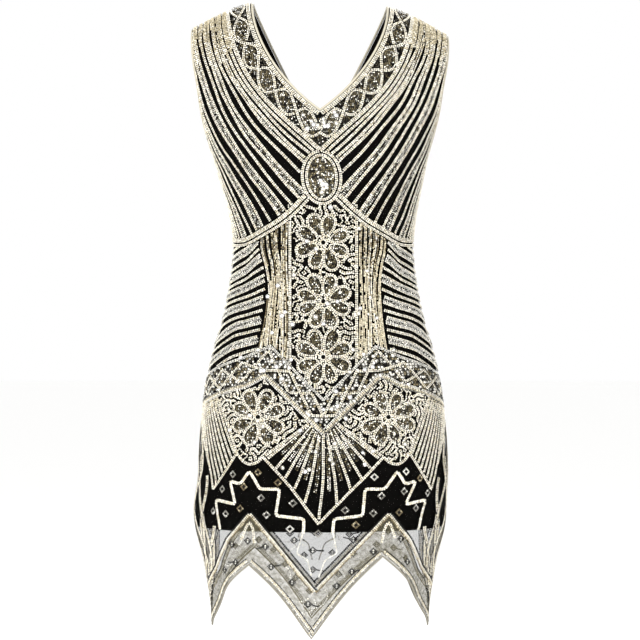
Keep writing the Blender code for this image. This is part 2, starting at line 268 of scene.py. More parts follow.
def cloth_shell(name, panel, hem, inset, thickness):
    """A panel of cloth as a thin closed wall on the form, its outer face inset along the normals."""
    facing = PANELS[panel]["facing"]
    rows = [row - 1 for row in np.linspace(0, 1, SHELL_ROWS["hem"] + 1)[:-1]] if hem else []
    rows += list(np.linspace(0, 1, SHELL_ROWS["body"] + 1)[:-1])
    rows = np.array(rows + list(np.linspace(1, 2, SHELL_ROWS["yoke"] + 1)))
    cloth = bmesh.new()
    drape = cloth.verts.layers.float_vector.new("cloth")
    for side in SIDES:
        made = bmesh.ops.create_grid(
            cloth, x_segments=SHELL_COLUMNS, y_segments=len(rows) - 1, size=0.5
        )["verts"]
        column = np.round((np.array([v.co.x for v in made]) + 0.5) * SHELL_COLUMNS) / SHELL_COLUMNS
        row = rows[np.round((np.array([v.co.y for v in made]) + 0.5) * (len(rows) - 1)).astype(int)]
        x, z = cut_point(panel, side, column, row, hem)
        around = side * turn_at(x, z) * form_reach(z) * QUARTER_ROUND
        for v, place, u, height in zip(made, on_form(panel, side * x, z), around, z):
            v.co = place
            v[drape] = (u, height, 0)
    bmesh.ops.remove_doubles(cloth, verts=cloth.verts, dist=1e-5)
    bmesh.ops.recalc_face_normals(cloth, faces=cloth.faces)
    chest = min(cloth.faces, key=lambda face: abs(face.calc_center_median().z - UNDERARM_Z))
    if chest.normal.y * facing < 0:
        bmesh.ops.reverse_faces(cloth, faces=cloth.faces)
    cloth.normal_update()
    for v, step in [(v, v.normal * inset) for v in cloth.verts]:
        v.co -= step
    bmesh.ops.solidify(cloth, geom=cloth.faces[:], thickness=thickness)
    bmesh.ops.recalc_face_normals(cloth, faces=cloth.faces)
    for v in cloth.verts:
        v.co.y = facing * max(SEAM_GAP / 2, facing * v.co.y)
    return settled_object(name, cloth)


def settled_object(name, shape):
    """A bmesh made an object and settled as the dress hangs. It rides on the dress's one body."""
    mesh = bpy.data.meshes.new(name)
    shape.to_mesh(mesh)
    shape.free()
    points = np.empty(len(mesh.vertices) * 3)
    mesh.vertices.foreach_get("co", points)
    mesh.vertices.foreach_set("co", settle(points.reshape(-1, 3)).ravel())
    mesh.shade_smooth()
    mesh.set_sharp_from_angle(angle=math.radians(SHARP_FROM))
    obj = bpy.data.objects.new(name, mesh)
    bpy.context.scene.collection.objects.link(obj)
    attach(obj, "root")
    return obj


def linear(hex_colour):
    """An sRGB hex colour as linear RGBA."""
    parts = [int(hex_colour[i : i + 2], 16) / 255 for i in (1, 3, 5)]
    return [c / 12.92 if c <= 0.04045 else ((c + 0.055) / 1.055) ** 2.4 for c in parts] + [1.0]


def add_node(material, kind, settings=None, **links):
    """Adds a node, sets its properties, and sets or links its inputs by name."""
    tree = material.node_tree
    node = tree.nodes.new(kind)
    for key, value in (settings or {}).items():
        setattr(node, key, value)
    for key, value in links.items():
        socket = node.inputs[int(key[1:])] if key[1:].isdigit() else node.inputs[key.replace("_", " ")]
        if isinstance(value, bpy.types.NodeSocket):
            tree.links.new(value, socket)
        else:
            socket.default_value = value
    return node


def new_material(name, **finish):
    """A material with a Principled BSDF, its plain finish set on the shader's own sockets."""
    material = bpy.data.materials.new(name)
    material.use_nodes = True
    shader = material.node_tree.nodes["Principled BSDF"]
    for key, value in finish.items():
        shader.inputs[key.replace("_", " ")].default_value = value
    return material, shader.inputs


QUARTER_ROUND = 1.36  # a quarter of the girth, over half the width
CHEVRON = ((0.0, -0.823), (0.363, -0.7165), (0.64, -0.795), (1.0, -0.830))  # (share round, height)
CHEVRON_DROP = {"front": 0.0, "back": 0.017}  # how much lower it runs than that
HEM_STRIP = 0.026  # how tall the strip of closest stitching is, above the hem
# How closely the stitching covers the net below the chevron: where least, where most, and by the hem
STITCHING = {"front": (0.08, 0.29, 0.10), "back": (0.0, 0.06, 0.0)}
STITCH_PATCH = 190.0  # noise scale: closer and sparser patches of it, 5 mm across
STITCH_SPREAD = (0.36, 0.66)  # the noise's values where it is least and most
STITCH_EDGE = 0.001  # how softly it begins, below the chevron
HEM_STRIP_EDGE = 0.005
NET_RANDOM = 0.4  # how far its holes are from a regular grid
THREAD_EDGE = (0.05, 0.16)  # of a hole's width, where a thread is whole and where it has ended
THREAD_COVER = 0.16  # how much of what is behind it a thread hides
HOLE_COVER = 0.050  # and how much is hidden everywhere

# Cotton bobbinet: soft, matt and black, open enough to see through, so its threads only grey what is
# behind them. Under the chevron it is stitched all over with pale thread, which tints it beige.


def bobbinet(panel):
    least, most, by_hem = STITCHING[panel]
    net, net_shader = new_material(f"Cotton_bobbinet_{panel}", Roughness=0.9, Specular_IOR_Level=0.03)
    place = add_node(net, "ShaderNodeAttribute", {"attribute_name": "cloth"}).outputs["Vector"]
    mesh = add_node(
        net,
        "ShaderNodeTexVoronoi",
        {"feature": "DISTANCE_TO_EDGE"},
        Vector=place,
        Scale=1 / (NET_CELL * MM),
        Randomness=NET_RANDOM,
    )
    thread = add_node(
        net,
        "ShaderNodeMapRange",
        _0=mesh.outputs["Distance"],
        _1=THREAD_EDGE[0],
        _2=THREAD_EDGE[1],
        _3=THREAD_COVER,
        _4=0.0,
    )
    below = add_node(net, "ShaderNodeAttribute", {"attribute_name": "below_chevron"}).outputs["Fac"]
    tinted = add_node(net, "ShaderNodeMapRange", _0=below, _1=-STITCH_EDGE, _2=STITCH_EDGE)
    shade = add_node(net, "ShaderNodeMix", {"data_type": "RGBA"}, Factor=tinted.outputs[0])
    shade.inputs[6].default_value = linear(NET_BLACK)
    shade.inputs[7].default_value = linear(NET_BEIGE)
    net.node_tree.links.new(shade.outputs[2], net_shader["Base Color"])
    patches = add_node(net, "ShaderNodeTexNoise", Vector=place, Scale=STITCH_PATCH, Detail=3.0)
    patchy = add_node(
        net,
        "ShaderNodeMapRange",
        _0=patches.outputs["Fac"],
        _1=STITCH_SPREAD[0],
        _2=STITCH_SPREAD[1],
        _3=least,
        _4=most,
    )
    near = add_node(net, "ShaderNodeAttribute", {"attribute_name": "above_hem"}).outputs["Fac"]
    strip = add_node(
        net,
        "ShaderNodeMapRange",
        _0=near,
        _1=HEM_STRIP - HEM_STRIP_EDGE,
        _2=HEM_STRIP,
        _3=by_hem + HOLE_COVER,
        _4=HOLE_COVER,
    )
    cover = add_node(
        net,
        "ShaderNodeMath",
        {"operation": "MULTIPLY_ADD"},
        _0=tinted.outputs[0],
        _1=patchy.outputs[0],
        _2=thread.outputs[0],
    )
    cover = add_node(net, "ShaderNodeMath", _0=cover.outputs[0], _1=strip.outputs[0])
    net.node_tree.links.new(cover.outputs[0], net_shader["Alpha"])
    return net


for panel in PANELS:
    piece = cloth_shell(f"{panel}_net", panel, True, 0.0, NET_WALL)
    points = np.empty(len(piece.data.vertices) * 3)
    piece.data.attributes["cloth"].data.foreach_get("vector", points)
    around, height, _ = points.reshape(-1, 3).T
    share = np.abs(around) / (form_reach(height) * QUARTER_ROUND)
    chevron_z = np.interp(share, *zip(*CHEVRON))
    below = piece.data.attributes.new("below_chevron", "FLOAT", "POINT")
    below.data.foreach_set("value", chevron_z - CHEVRON_DROP[panel] - height)
    hem = [np.interp(share, *zigzag_edge(panel, side, np.linspace(0, 1, 201))) for side in (1, -1)]
    above = piece.data.attributes.new("above_hem", "FLOAT", "POINT")
    above.data.foreach_set("value", height - np.where(around > 0, *hem))
    piece.data.materials.append(bobbinet(panel))
    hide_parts(f"{panel}_panel")


# ---- Lining -----------------------------------------------------------------------------------
# A plain black underdress of woven polyester, cut like the net but with a level hem above the net's
# notches. It is caught in with the net at the neck and armholes.

LINING_THICKNESS = 0.0010
LINING_INSET = 0.0017
LINING_BLACKS = ("#020201", "#070605")
LINING_WORN = 22.0  # noise scale: the paler places are 45 mm across
LINING_GRAIN = 62.5  # wave scale: ridges 5 mm apart, coarser than the real weave, or none would show

# Plain-woven polyester: matt black with a faint soft sheen and a fine crossed grain.
lining, lining_shader = new_material("Woven_polyester_lining", Roughness=0.85, Specular_IOR_Level=0.04)
lining_place = add_node(lining, "ShaderNodeAttribute", {"attribute_name": "cloth"}).outputs["Vector"]
worn = add_node(lining, "ShaderNodeTexNoise", Vector=lining_place, Scale=LINING_WORN, Detail=4.0)
tone = add_node(lining, "ShaderNodeMix", {"data_type": "RGBA"}, Factor=worn.outputs["Fac"])
tone.inputs[6].default_value = linear(LINING_BLACKS[0])
tone.inputs[7].default_value = linear(LINING_BLACKS[1])
lining.node_tree.links.new(tone.outputs[2], lining_shader["Base Color"])
weave = [
    add_node(
        lining,
        "ShaderNodeTexWave",
        {"bands_direction": way},
        Vector=lining_place,
        Scale=LINING_GRAIN,
    ).outputs["Fac"]
    for way in ("X", "Y")
]
grain = add_node(lining, "ShaderNodeMath", {"operation": "MULTIPLY"}, _0=weave[0], _1=weave[1])
bump = add_node(lining, "ShaderNodeBump", Height=grain.outputs[0], Strength=0.25, Distance=0.0003)
lining.node_tree.links.new(bump.outputs[0], lining_shader["Normal"])

for panel in PANELS:
    piece = cloth_shell(f"{panel}_lining_cloth", panel, False, LINING_INSET, LINING_THICKNESS)
    piece.data.materials.append(lining)
    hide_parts(f"{panel}_lining")


# ---- Neck line --------------------------------------------------------------------------------
# Three rows of cream glass seed beads follow the neck edge. Every bead is sewn on by hand, so they
# vary a little in shade and turn. The beading on the whole dress is made with the same stitches.

BEAD_RADIUS = 1.08  # mm, across the thread
BEAD_STRETCH = 1.34  # along the thread, over across it
BEAD_HALF_HEIGHT = 0.80
BEAD_PITCH = 2.9  # mm from bead to bead along the thread
ROW_PITCH = 2.05  # mm from one row to the next beside it
BEAD_SIDES = 6
STAND_OFF = 0.45  # mm from the net to a bead's middle
LOOSE_TURN = 9  # degrees that a bead leans from square
SLIP = 0.12  # share of the pitch that a bead may slip along its thread
SIZE_SPREAD = 0.05
ROOM = 1.6  # mm round a bead's middle where no other is sewn
CLOSE_ROOM = 0.9  # the same where beads are packed close
FILL_ROW = 0.8  # from row to row where beads fill an outline, over their pitch
NECK_INSETS = (1.5, 3.55, 5.6)
BEAD_TONES = {
    "cream": "#F6F0E0",
    "champagne": "#E2D8BE",
    "gold": "#C9BD9E",
    "silver": "#DEDCD4",
    "grey": "#8F8C83",
    "brown": "#75684E",
    "black": "#0C0A08",
}
STRAY = 0.18  # share of the beads that are another tone near their own
STRAY_TONES = {"cream": 1, "champagne": 2, "gold": 1, "silver": 0, "grey": 3, "brown": 2, "black": 6}
SHADES = 8  # shades of each tone
CELL = 0.5  # mm, of the plan that keeps one bead out of another's place
PLAN_REACH, PLAN_DROP, PLAN_MARGIN = 300, 900, 20  # mm
MAP_USE = 0.44  # half the share of a cell of the tone map that a bead covers
rng = np.random.default_rng(1925)


def around_at(x, down):
    """mm round from the centre line, on the flat cloth, of a place x mm out and down mm below 0."""
    reach = form_reach(-down * MM)
    return np.sign(x) * turn_at(x * MM, -down * MM) * reach * QUARTER_ROUND / MM


def x_at(around, down):
    reach = form_reach(-down * MM) / MM
    turn = np.clip(np.abs(around) / (reach * QUARTER_ROUND), 0, 1)
    return np.sign(around) * reach * np.sin(turn * math.pi / 2)


def flat(out, down):
    """Places on the flat cloth, (around, down), of places seen from in front, all in mm."""
    out, down = np.broadcast_arrays(np.asarray(out, float), np.asarray(down, float))
    return np.stack([around_at(out, down), down], -1)


def flat_share(share, down):
    """Places on the flat cloth of shares of the way round to the side seam."""
    down = np.asarray(down, float)
    return flat(skirt_x(np.asarray(share, float), -down * MM) / MM, down)


def on_cloth(panel, places):
    """Points in space of places on the flat cloth."""
    x = x_at(places[:, 0], places[:, 1])
    return settle(on_form(panel, x * MM, -places[:, 1] * MM))


def cloth_frames(panel, places):
    """At each place: the point, and its steps in space for 1 mm around and 1 mm down, in mm."""
    step = 0.5
    ways = []
    for way in ((step, 0), (0, step)):
        ahead, behind = on_cloth(panel, places + way), on_cloth(panel, places - way)
        ways.append((ahead - behind) / (2 * step) / MM)
    return on_cloth(panel, places), *ways


def spaced(points, step=0.8, closed=False):
    """A line of straight stretches, with places every step mm."""
    points = np.asarray(points, float)
    if closed:
        points = np.vstack([points, points[:1]])
    along = np.append(0, np.cumsum(np.hypot(*np.diff(points, axis=0).T)))
    at = np.linspace(0, along[-1], max(2, int(along[-1] / step)))
    return np.stack([np.interp(at, along, points[:, i]) for i in (0, 1)], -1)


def flowing(points):
    """A smooth line through points."""
    points = np.asarray(points, float)
    points = np.vstack([2 * points[0] - points[1], points, 2 * points[-1] - points[-2]])
    a, b, c, d = points[:-3, None], points[1:-2, None], points[2:-1, None], points[3:, None]
    t = np.linspace(0, 1, 12, endpoint=False)[:, None]
    square, cube = 2 * a - 5 * b + 4 * c - d, 3 * b - a - 3 * c + d
    curve = 0.5 * (2 * b + (c - a) * t + square * t**2 + cube * t**3)
    return np.vstack([curve.reshape(-1, 2), points[-2:-1]])


def within(outline, places):
    """Which places lie inside a closed outline."""
    x, y = places[:, 0], places[:, 1]
    inside = np.zeros(len(places), bool)
    for (ax, ay), (bx, by) in zip(outline, np.roll(outline, -1, axis=0)):
        if ay != by:
            inside ^= ((ay > y) != (by > y)) & (x < (bx - ax) * (y - ay) / (by - ay) + ax)
    return inside


def mirrored(places, side):
    return places * (side, 1)


def cells(places):
    col = np.round((places[:, 0] + PLAN_REACH) / CELL).astype(int)
    return np.round((places[:, 1] + PLAN_MARGIN) / CELL).astype(int), col


def claim(panel, places, radius):
    """Takes the room of beads at these places."""
    row, col = cells(places)
    reach = int(radius / CELL)
    for down in range(-reach, reach + 1):
        for over in range(-reach, reach + 1):
            if math.hypot(down, over) * CELL <= radius:
                taken[panel][row + down, col + over] = True


def plan_inside(outline):
    """The rows and columns of the plan's cells inside an outline."""
    (low_row, high_row), (low_col, high_col) = cells(np.array([outline.min(0), outline.max(0)]))
    rows, cols = np.mgrid[low_row : high_row + 1, low_col : high_col + 1].reshape(2, -1)
    inside = within(outline, np.stack([cols * CELL - PLAN_REACH, rows * CELL - PLAN_MARGIN], -1))
    return rows[inside], cols[inside]


def claim_inside(panel, outline):
    taken[panel][plan_inside(outline)] = True


def has_room(panel, places):
    return ~taken[panel][cells(places)]


def strand(panel, path, rows=(0.0,), pitch=BEAD_PITCH):
    """Places and threading directions of beads in rows beside a path on the flat cloth."""
    if len(path) < 2:
        return np.empty((0, 5))
    point, over, down = cloth_frames(panel, path)
    run = np.linalg.norm(np.diff(point, axis=0), axis=1) / MM
    along = np.append(0, np.cumsum(run))
    found = []
    start = rng.uniform(0, pitch)
    for i, aside in enumerate(rows):
        at = np.arange(start, along[-1], pitch)
        at = at + rng.uniform(-SLIP, SLIP, len(at)) * pitch
        places = np.stack([np.interp(at, along, path[:, k]) for k in (0, 1)], -1)
        ways = np.gradient(path, axis=0)
        ways = np.stack([np.interp(at, along, ways[:, k]) for k in (0, 1)], -1)
        size = [np.interp(at, along, np.linalg.norm(step, axis=1)) for step in (over, down)]
        size = [np.maximum(0.3, length) for length in size]
        true = ways * np.stack(size, -1)
        true /= np.maximum(1e-9, np.linalg.norm(true, axis=1))[:, None]
        square = np.stack([-true[:, 1] / size[0], true[:, 0] / size[1]], -1)
        found.append(np.column_stack([places + square * aside, ways, np.full(len(at), i)]))
    return np.vstack(found)


def rows_of(count, pitch=ROW_PITCH):
    return [(i - (count - 1) / 2) * pitch for i in range(count)]


def threaded(panel, beads, tone, room=ROOM):
    """The beads of a stroke that have room. The tone is one for all, or one for each row."""
    beads = beads[has_room(panel, beads[:, :2])]
    claim(panel, beads[:, :2], room)
    names = [tone] if isinstance(tone, str) else tone
    order = list(BEAD_TONES)
    plain = np.array([order.index(name) for name in names])
    stray = np.array([STRAY_TONES[name] for name in names])
    row = beads[:, 4].astype(int) % len(names)
    tones = np.where(rng.random(len(beads)) < STRAY, stray[row], plain[row])
    return np.column_stack([beads[:, :4], tones])


def line(panel, path, count, tone="cream", pitch=BEAD_PITCH, room=ROOM):
    """A line of beads, count rows wide, along a path on the flat cloth."""
    return threaded(panel, strand(panel, path, rows_of(count), pitch), tone, room)


def pair(panel, path, count, tone="cream"):
    """The same line on both halves of a panel."""
    return [line(panel, mirrored(path, side), count, tone) for side in SIDES]


def filled(panel, outline, tone, pitch=BEAD_PITCH, room=CLOSE_ROOM, keep=None):
    """Beads set close in level rows inside an outline."""
    low, high = outline.min(0), outline.max(0)
    found = []
    for i, down in enumerate(np.arange(low[1], high[1], pitch * FILL_ROW)):
        path = spaced([(low[0] + (i % 2) * pitch / 2, down), (high[0], down)], 2.0)
        found.append(strand(panel, path, pitch=pitch))
    found = np.vstack(found)
    found = found[within(outline, found[:, :2])]
    if keep is not None:
        found = found[keep(found[:, :2])]
    return threaded(panel, found, tone, room)


def small_shape(radius, half_height, stretch, sides):
    """A bead or sequin with the fewest faces that still look round, its points up and down."""
    shape = bmesh.new()
    bmesh.ops.create_uvsphere(shape, u_segments=sides, v_segments=2, radius=1)
    shape.verts.ensure_lookup_table()
    points = np.array([v.co for v in shape.verts]) * (radius * stretch, radius, half_height) * MM
    faces = np.array([[v.index for v in face.verts] for face in shape.faces])
    shape.free()
    return points, faces


def sewn(name, panel, parts, material, slot, tones, size, loose=LOOSE_TURN, lift=STAND_OFF):
    """One piece of many beads or sequins, each square to the cloth but for a small lean."""
    radius, half_height, stretch, sides = size
    beads = np.vstack(parts)
    point, over, down = cloth_frames(panel, beads[:, :2])
    out = np.cross(over, down) * PANELS[panel]["facing"]
    along = over * beads[:, 2:3] + down * beads[:, 3:4]
    lean = np.radians(rng.normal(0, loose, (2, len(beads), 1)))
    out /= np.linalg.norm(out, axis=1)[:, None]
    along /= np.linalg.norm(along, axis=1)[:, None]
    aside = np.cross(out, along)
    point = point + out * lift * MM
    out = out + along * lean[0] + aside * lean[1]
    out /= np.linalg.norm(out, axis=1)[:, None]
    aside = np.cross(out, along)
    aside /= np.linalg.norm(aside, axis=1)[:, None]
    along = np.cross(aside, out)
    shape, faces = small_shape(*size)
    grown = rng.normal(1, SIZE_SPREAD, (len(beads), 1, 1))
    turned = shape[None, :, 0:1] * along[:, None] + shape[None, :, 1:2] * aside[:, None]
    turned = point[:, None] + grown * (turned + shape[None, :, 2:3] * out[:, None])
    all_faces = faces[None] + (np.arange(len(beads)) * len(shape))[:, None, None]
    mesh = bpy.data.meshes.new(name)
    mesh.from_pydata(turned.reshape(-1, 3), [], all_faces.reshape(-1, faces.shape[1]))
    mesh.shade_smooth()
    cell = np.stack([beads[:, 4] + 0.5, rng.integers(0, SHADES, len(beads)) + 0.5], -1)
    disc = shape[:, :2] / (np.array([radius * stretch, radius]) * MM) * MAP_USE
    corners = (cell[:, None] + disc[None]) / (len(tones), SHADES)
    uv = mesh.uv_layers.new(name="OFBake")
    uv.data.foreach_set("uv", corners.reshape(-1, 2)[all_faces.ravel()].astype(np.float32).ravel())
    mesh.materials.append(material)
    obj = bpy.data.objects.new(name, mesh)
    bpy.context.scene.collection.objects.link(obj)
    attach(obj, "root")
    return obj


def beaded(name, panel, parts, radius=BEAD_RADIUS):
    """A piece of seed beads, from the strokes of one motif."""
    size = (radius, BEAD_HALF_HEIGHT, BEAD_STRETCH, BEAD_SIDES)
    return sewn(name, panel, parts, glass, "cream_beads", BEAD_TONES, size)


def tone_material(name, tones, spread, **finish):
    """A material whose tone and shade are picked by the piece's own map: a column for each tone."""
    material, shader = new_material(name, **finish)
    place = add_node(material, "ShaderNodeUVMap", {"uv_map": "OFBake"}).outputs["UV"]
    place = add_node(material, "ShaderNodeSeparateXYZ", Vector=place)
    ramp = add_node(material, "ShaderNodeValToRGB", Fac=place.outputs["X"])
    stops = ramp.color_ramp
    stops.interpolation = "CONSTANT"
    for _ in range(len(tones) - 2):
        stops.elements.new(0.5)
    for i, (stop, colour) in enumerate(zip(stops.elements, tones.values())):
        stop.position = i / len(tones)
        stop.color = linear(colour)
    row = place.outputs["Y"]
    step = add_node(material, "ShaderNodeMath", {"operation": "SNAP"}, _0=row, _1=1 / SHADES)
    light = add_node(material, "ShaderNodeMapRange", _0=step.outputs[0], _3=spread[0], _4=spread[1])
    lit = add_node(
        material,
        "ShaderNodeMix",
        {"data_type": "RGBA", "blend_type": "MULTIPLY"},
        Factor=1.0,
    )
    material.node_tree.links.new(ramp.outputs[0], lit.inputs[6])
    material.node_tree.links.new(light.outputs[0], lit.inputs[7])
    material.node_tree.links.new(lit.outputs[2], shader["Base Color"])
    return material


# Lined glass seed beads: glossy, each with a small sharp glint over a pale creamy core.
glass = tone_material(
    "Lined_glass_seed_beads", BEAD_TONES, (0.56, 1.0), Roughness=0.2, Specular_IOR_Level=0.25
)

taken, off_cloth = {}, {}
for panel in PANELS:
    rows, cols = (PLAN_DROP + 2 * PLAN_MARGIN) / CELL, 2 * PLAN_REACH / CELL
    taken[panel] = np.ones((int(rows), int(cols) + 1), bool)
    for side in SIDES:
        steps = np.linspace(0, 1, 81)
        neck_x, neck_z = neck_edge(panel, steps)
        arm_z = lerp(SHOULDER_TIP_Z, UNDERARM_Z, steps)
        shoulder_x = np.linspace(NECK_POINT_X, form_at("half_width", SHOULDER_TIP_Z), 30)
        hem_share, hem_z = zigzag_edge(panel, side, steps)
        edge = np.vstack(
            [
                flat(neck_x / MM, -neck_z / MM),
                flat(shoulder_x / MM, -shoulder_height(shoulder_x) / MM),
                flat(form_at("half_width", arm_z) / MM, -arm_z / MM),
                flat_share(np.ones(60), np.linspace(-UNDERARM_Z, -SIDE_POINT_Z, 60) / MM),
                flat_share(hem_share[::-1], -hem_z[::-1] / MM),
            ]
        )
        taken[panel][plan_inside(mirrored(edge, side))] = False
    off_cloth[panel] = taken[panel].copy()
    beads = []
    up = np.linspace(0, 1, 160)
    neck_x, neck_z = neck_edge(panel, up)
    path = flat(neck_x / MM, -neck_z / MM)
    for side in SIDES:
        rows = [side * inset for inset in NECK_INSETS]
        beads.append(threaded(panel, strand(panel, mirrored(path, side), rows), "cream"))
    beaded(f"{panel}_neck_line", panel, beads)


# ---- Shoulder-to-bust band --------------------------------------------------------------------
# A broad band follows the neck line, edged below by three rows of beads. Two strands cross again and
# again along it, with bronze cup sequins in the diamonds between them and darker ones beside them. A
# kite of pale sequins hangs below the V, a third of them painted near-white as painted glints.

# The control points of the curve of its lower edge, mm out and down.
BAND_EDGE = {
    "front": ((0, 216), (58, 160), (122, 120), (131, 13)),
    "back": ((0, 243), (52, 182), (118, 118), (131, 13)),
}
BAND_DIAMONDS = 5.5  # on each side
BAND_SWING = 0.43  # of the lattice's width
BAND_LATTICE = (0.13, 0.93)  # shares of the way down the band between which the strands cross
BAND_STEPS = 300
KITE = ((0, 9), (9, 22), (0, 50), (-9, 22))  # mm out, and below the V
CURVE_STEPS = 160
SEQUIN_RADIUS = 1.6  # mm
SEQUIN_HALF_HEIGHT = 0.25
SEQUIN_LEAN = 17  # degrees
SEQUIN_LIFT = 0.5  # mm from the net to a sequin's middle
SEQUIN_PITCH = 2.75
WIDE_SEQUIN_PITCH = 3.3
SMALL_SEQUIN = 1.4  # radius of those sewn in narrow strips
# The near-white tone is a painted glint: sequins painted as if turned to the light.
SEQUIN_TONES = {
    "bronze": "#7C7259",
    "painted_glint": "#FBF7EC",
    "silver": "#C9C7BF",
    "smoke": "#4A463C",
    "black": "#141210",
}
# Each mix's shares of the tones above; its share of the near-white tone is painted glint.
MIXES = {
    "bronze": (0.48, 0.16, 0.12, 0.18, 0.06),
    "silver": (0.10, 0.20, 0.56, 0.10, 0.04),
    "pale": (0.02, 0.30, 0.64, 0.04, 0.0),
    "smoke": (0.20, 0.02, 0.16, 0.42, 0.20),
    "painted_glint": (0.18, 0.36, 0.26, 0.10, 0.10),
    "lattice": (0.22, 0.14, 0.40, 0.14, 0.10),
    "fan": (0.46, 0.10, 0.18, 0.20, 0.06),
}


def bezier(corners):
    t = np.linspace(0, 1, CURVE_STEPS)[:, None]
    a, b, c, d = np.array(corners, float)
    return a * (1 - t) ** 3 + b * 3 * t * (1 - t) ** 2 + c * 3 * t * t * (1 - t) + d * t**3


def between(inner, outer, share):
    """A line that runs from one line to another and back, as its share of the way across says."""
    steps = np.linspace(0, 1, len(share))
    lines = []
    for edge in (inner, outer):
        run = np.append(0, np.cumsum(np.hypot(*np.diff(edge, axis=0).T)))
        lines.append(np.stack([np.interp(steps * run[-1], run, edge[:, i]) for i in (0, 1)], -1))
    return lines[0] + (lines[1] - lines[0]) * np.asarray(share)[:, None]


def mixed(beads, mix):
    beads[:, 4] = rng.choice(len(SEQUIN_TONES), len(beads), p=MIXES[mix])
    return beads


def sequins(panel, outline, mix, pitch=SEQUIN_PITCH):
    """Cup sequins sewn close together inside an outline, of mixed tones."""
    return mixed(filled(panel, outline, "cream", pitch, pitch * 0.5), mix)


def sequined(name, panel, parts, radius=SEQUIN_RADIUS, lift=SEQUIN_LIFT):
    size = (radius, SEQUIN_HALF_HEIGHT, 1.0, BEAD_SIDES)
    return sewn(name, panel, parts, foil, "sequins", SEQUIN_TONES, size, SEQUIN_LEAN, lift)


# Metallised plastic sequins: mirror-like, so those that lean towards the light flash. The near-white
# ones are painted glints, coloured as if turned to the light.
foil = tone_material("Metallised_sequins", SEQUIN_TONES, (0.6, 1.15), Roughness=0.24, Metallic=0.85)

band_edges = {}
for panel in PANELS:
    up = np.linspace(0, 1, CURVE_STEPS)
    neck_x, neck_z = neck_edge(panel, up)
    neck = flat(neck_x / MM, -neck_z / MM)
    corners = bezier(BAND_EDGE[panel])
    edge = flat(corners[:, 0], corners[:, 1])
    band_edges[panel] = edge
    beads = pair(panel, edge, 3)
    inner, outer = (between(neck, edge, np.full(BAND_STEPS, share)) for share in BAND_LATTICE)
    wave = np.cos(np.linspace(0.5, 0.5 + BAND_DIAMONDS, BAND_STEPS) * math.pi)
    for sign in (-1, 1):
        beads += pair(panel, between(inner, outer, 0.5 + sign * BAND_SWING * wave), 2)
    outline = np.vstack([neck, edge[::-1]])
    beaded(f"{panel}_neck_band", panel, beads)
    low = -PANELS[panel]["v_height"] / MM
    kite = flat(*spaced([(out, low + down) for out, down in KITE], 1.0, True).T)
    # Many of the kite's sequins are painted near-white, as painted glints.
    fill = [sequins(panel, kite, "painted_glint", 3.0)]
    for side in SIDES:
        shape = mirrored(outline, side)
        chain = np.vstack(
            [
                between(inner, outer, 0.5 + BAND_SWING * np.abs(wave)),
                between(inner, outer, 0.5 - BAND_SWING * np.abs(wave))[::-1],
            ]
        )
        fill.append(sequins(panel, mirrored(chain, side), "bronze"))
        fill.append(sequins(panel, shape, "smoke", WIDE_SEQUIN_PITCH))
        claim_inside(panel, shape)
    sequined(f"{panel}_neck_band_sequins", panel, fill)


# ---- Medallion --------------------------------------------------------------------------------
# An oval of large sequins sits between the points of the bust, right below the neck band. Two double
# rings of cream beads with a dark gap between them hold it.

MEDALLION = {
    "front": {"centre": (0, 253), "outer": (26.5, 36), "inner": (20.5, 30.5)},
    "back": {"centre": (0, 276), "outer": (22.5, 31), "inner": (16.8, 25.5)},
}
BIG_SEQUIN = 2.2
MEDALLION_INSIDE = 1.5  # mm from the middle of the inner ring to its sequins
MEDALLION_OUTSIDE = 2.2  # and from the middle of the outer one to what lies round it


def ring(centre, radii, turns=120):
    angle = np.linspace(0, 2 * math.pi, turns, endpoint=False)
    across = centre[0] + radii[0] * np.sin(angle)
    return np.stack([across, centre[1] - radii[1] * np.cos(angle)], -1)


def closed(path):
    return np.vstack([path, path[:1]])


for panel in PANELS:
    made = MEDALLION[panel]
    centre = made["centre"]
    outer, inner = ring(centre, made["outer"]), ring(centre, made["inner"])
    beads = [line(panel, flat(*closed(shape).T), 2) for shape in (outer, inner)]
    beaded(f"{panel}_medallion", panel, beads)
    inside = ring(centre, [r - MEDALLION_INSIDE for r in made["inner"]])
    fill = [sequins(panel, flat(*inside.T), "bronze", WIDE_SEQUIN_PITCH)]
    sequined(f"{panel}_medallion_sequins", panel, fill, BIG_SEQUIN)
    outside = ring(centre, [r + MEDALLION_OUTSIDE for r in made["outer"]])
    claim_inside(panel, flat(*outside.T))


# ---- Underbust line ---------------------------------------------------------------------------
# A double line swings out from the medallion under the bust to the side seam: three rows of beads,
# a narrow dark gap, and two rows more.

# Points along it, mm out and down.
UNDERBUST = {
    "front": ((20, 278.6), (45, 302.5), (72, 321), (107, 338), (122, 340.5), (129, 338)),
    "back": ((17, 297), (45, 312), (72, 325), (107, 337.5), (122, 340), (129, 338)),
}
UNDERBUST_UP = (3.5, 3)  # mm up from the middle of the two, and rows
UNDERBUST_LOW = (-3.5, 2)


def beside(panel, path, aside):
    """A line that runs beside another on the cloth, aside mm to its left as it goes."""
    return strand(panel, path, (aside,), 1.0)[:, :2]


underbust = {}
for panel in PANELS:
    points = np.array(UNDERBUST[panel], float)
    path = flowing(np.vstack([flat(*points[:-1].T), flat_share([1.0], points[-1:, 1])]))
    underbust[panel] = path
    beads = []
    for aside, count in (UNDERBUST_UP, UNDERBUST_LOW):
        beads += pair(panel, beside(panel, path, -aside), count)
    beaded(f"{panel}_underbust_line", panel, beads)
    rims = [beside(panel, path, -aside) for aside, _ in (UNDERBUST_UP, UNDERBUST_LOW)]
    strip = np.vstack([rims[0], rims[1][::-1]])
    for side in SIDES:
        claim_inside(panel, mirrored(strip, side))


# ---- Bust rays --------------------------------------------------------------------------------
# Long curved rays rise from the band and the underbust line to the shoulder and armhole, each of two
# rows of beads, and of four near the shoulder. Single ones alternate with wide ones, which are two
# with a strip of silver sequins between them. Bare net shows between all of these.

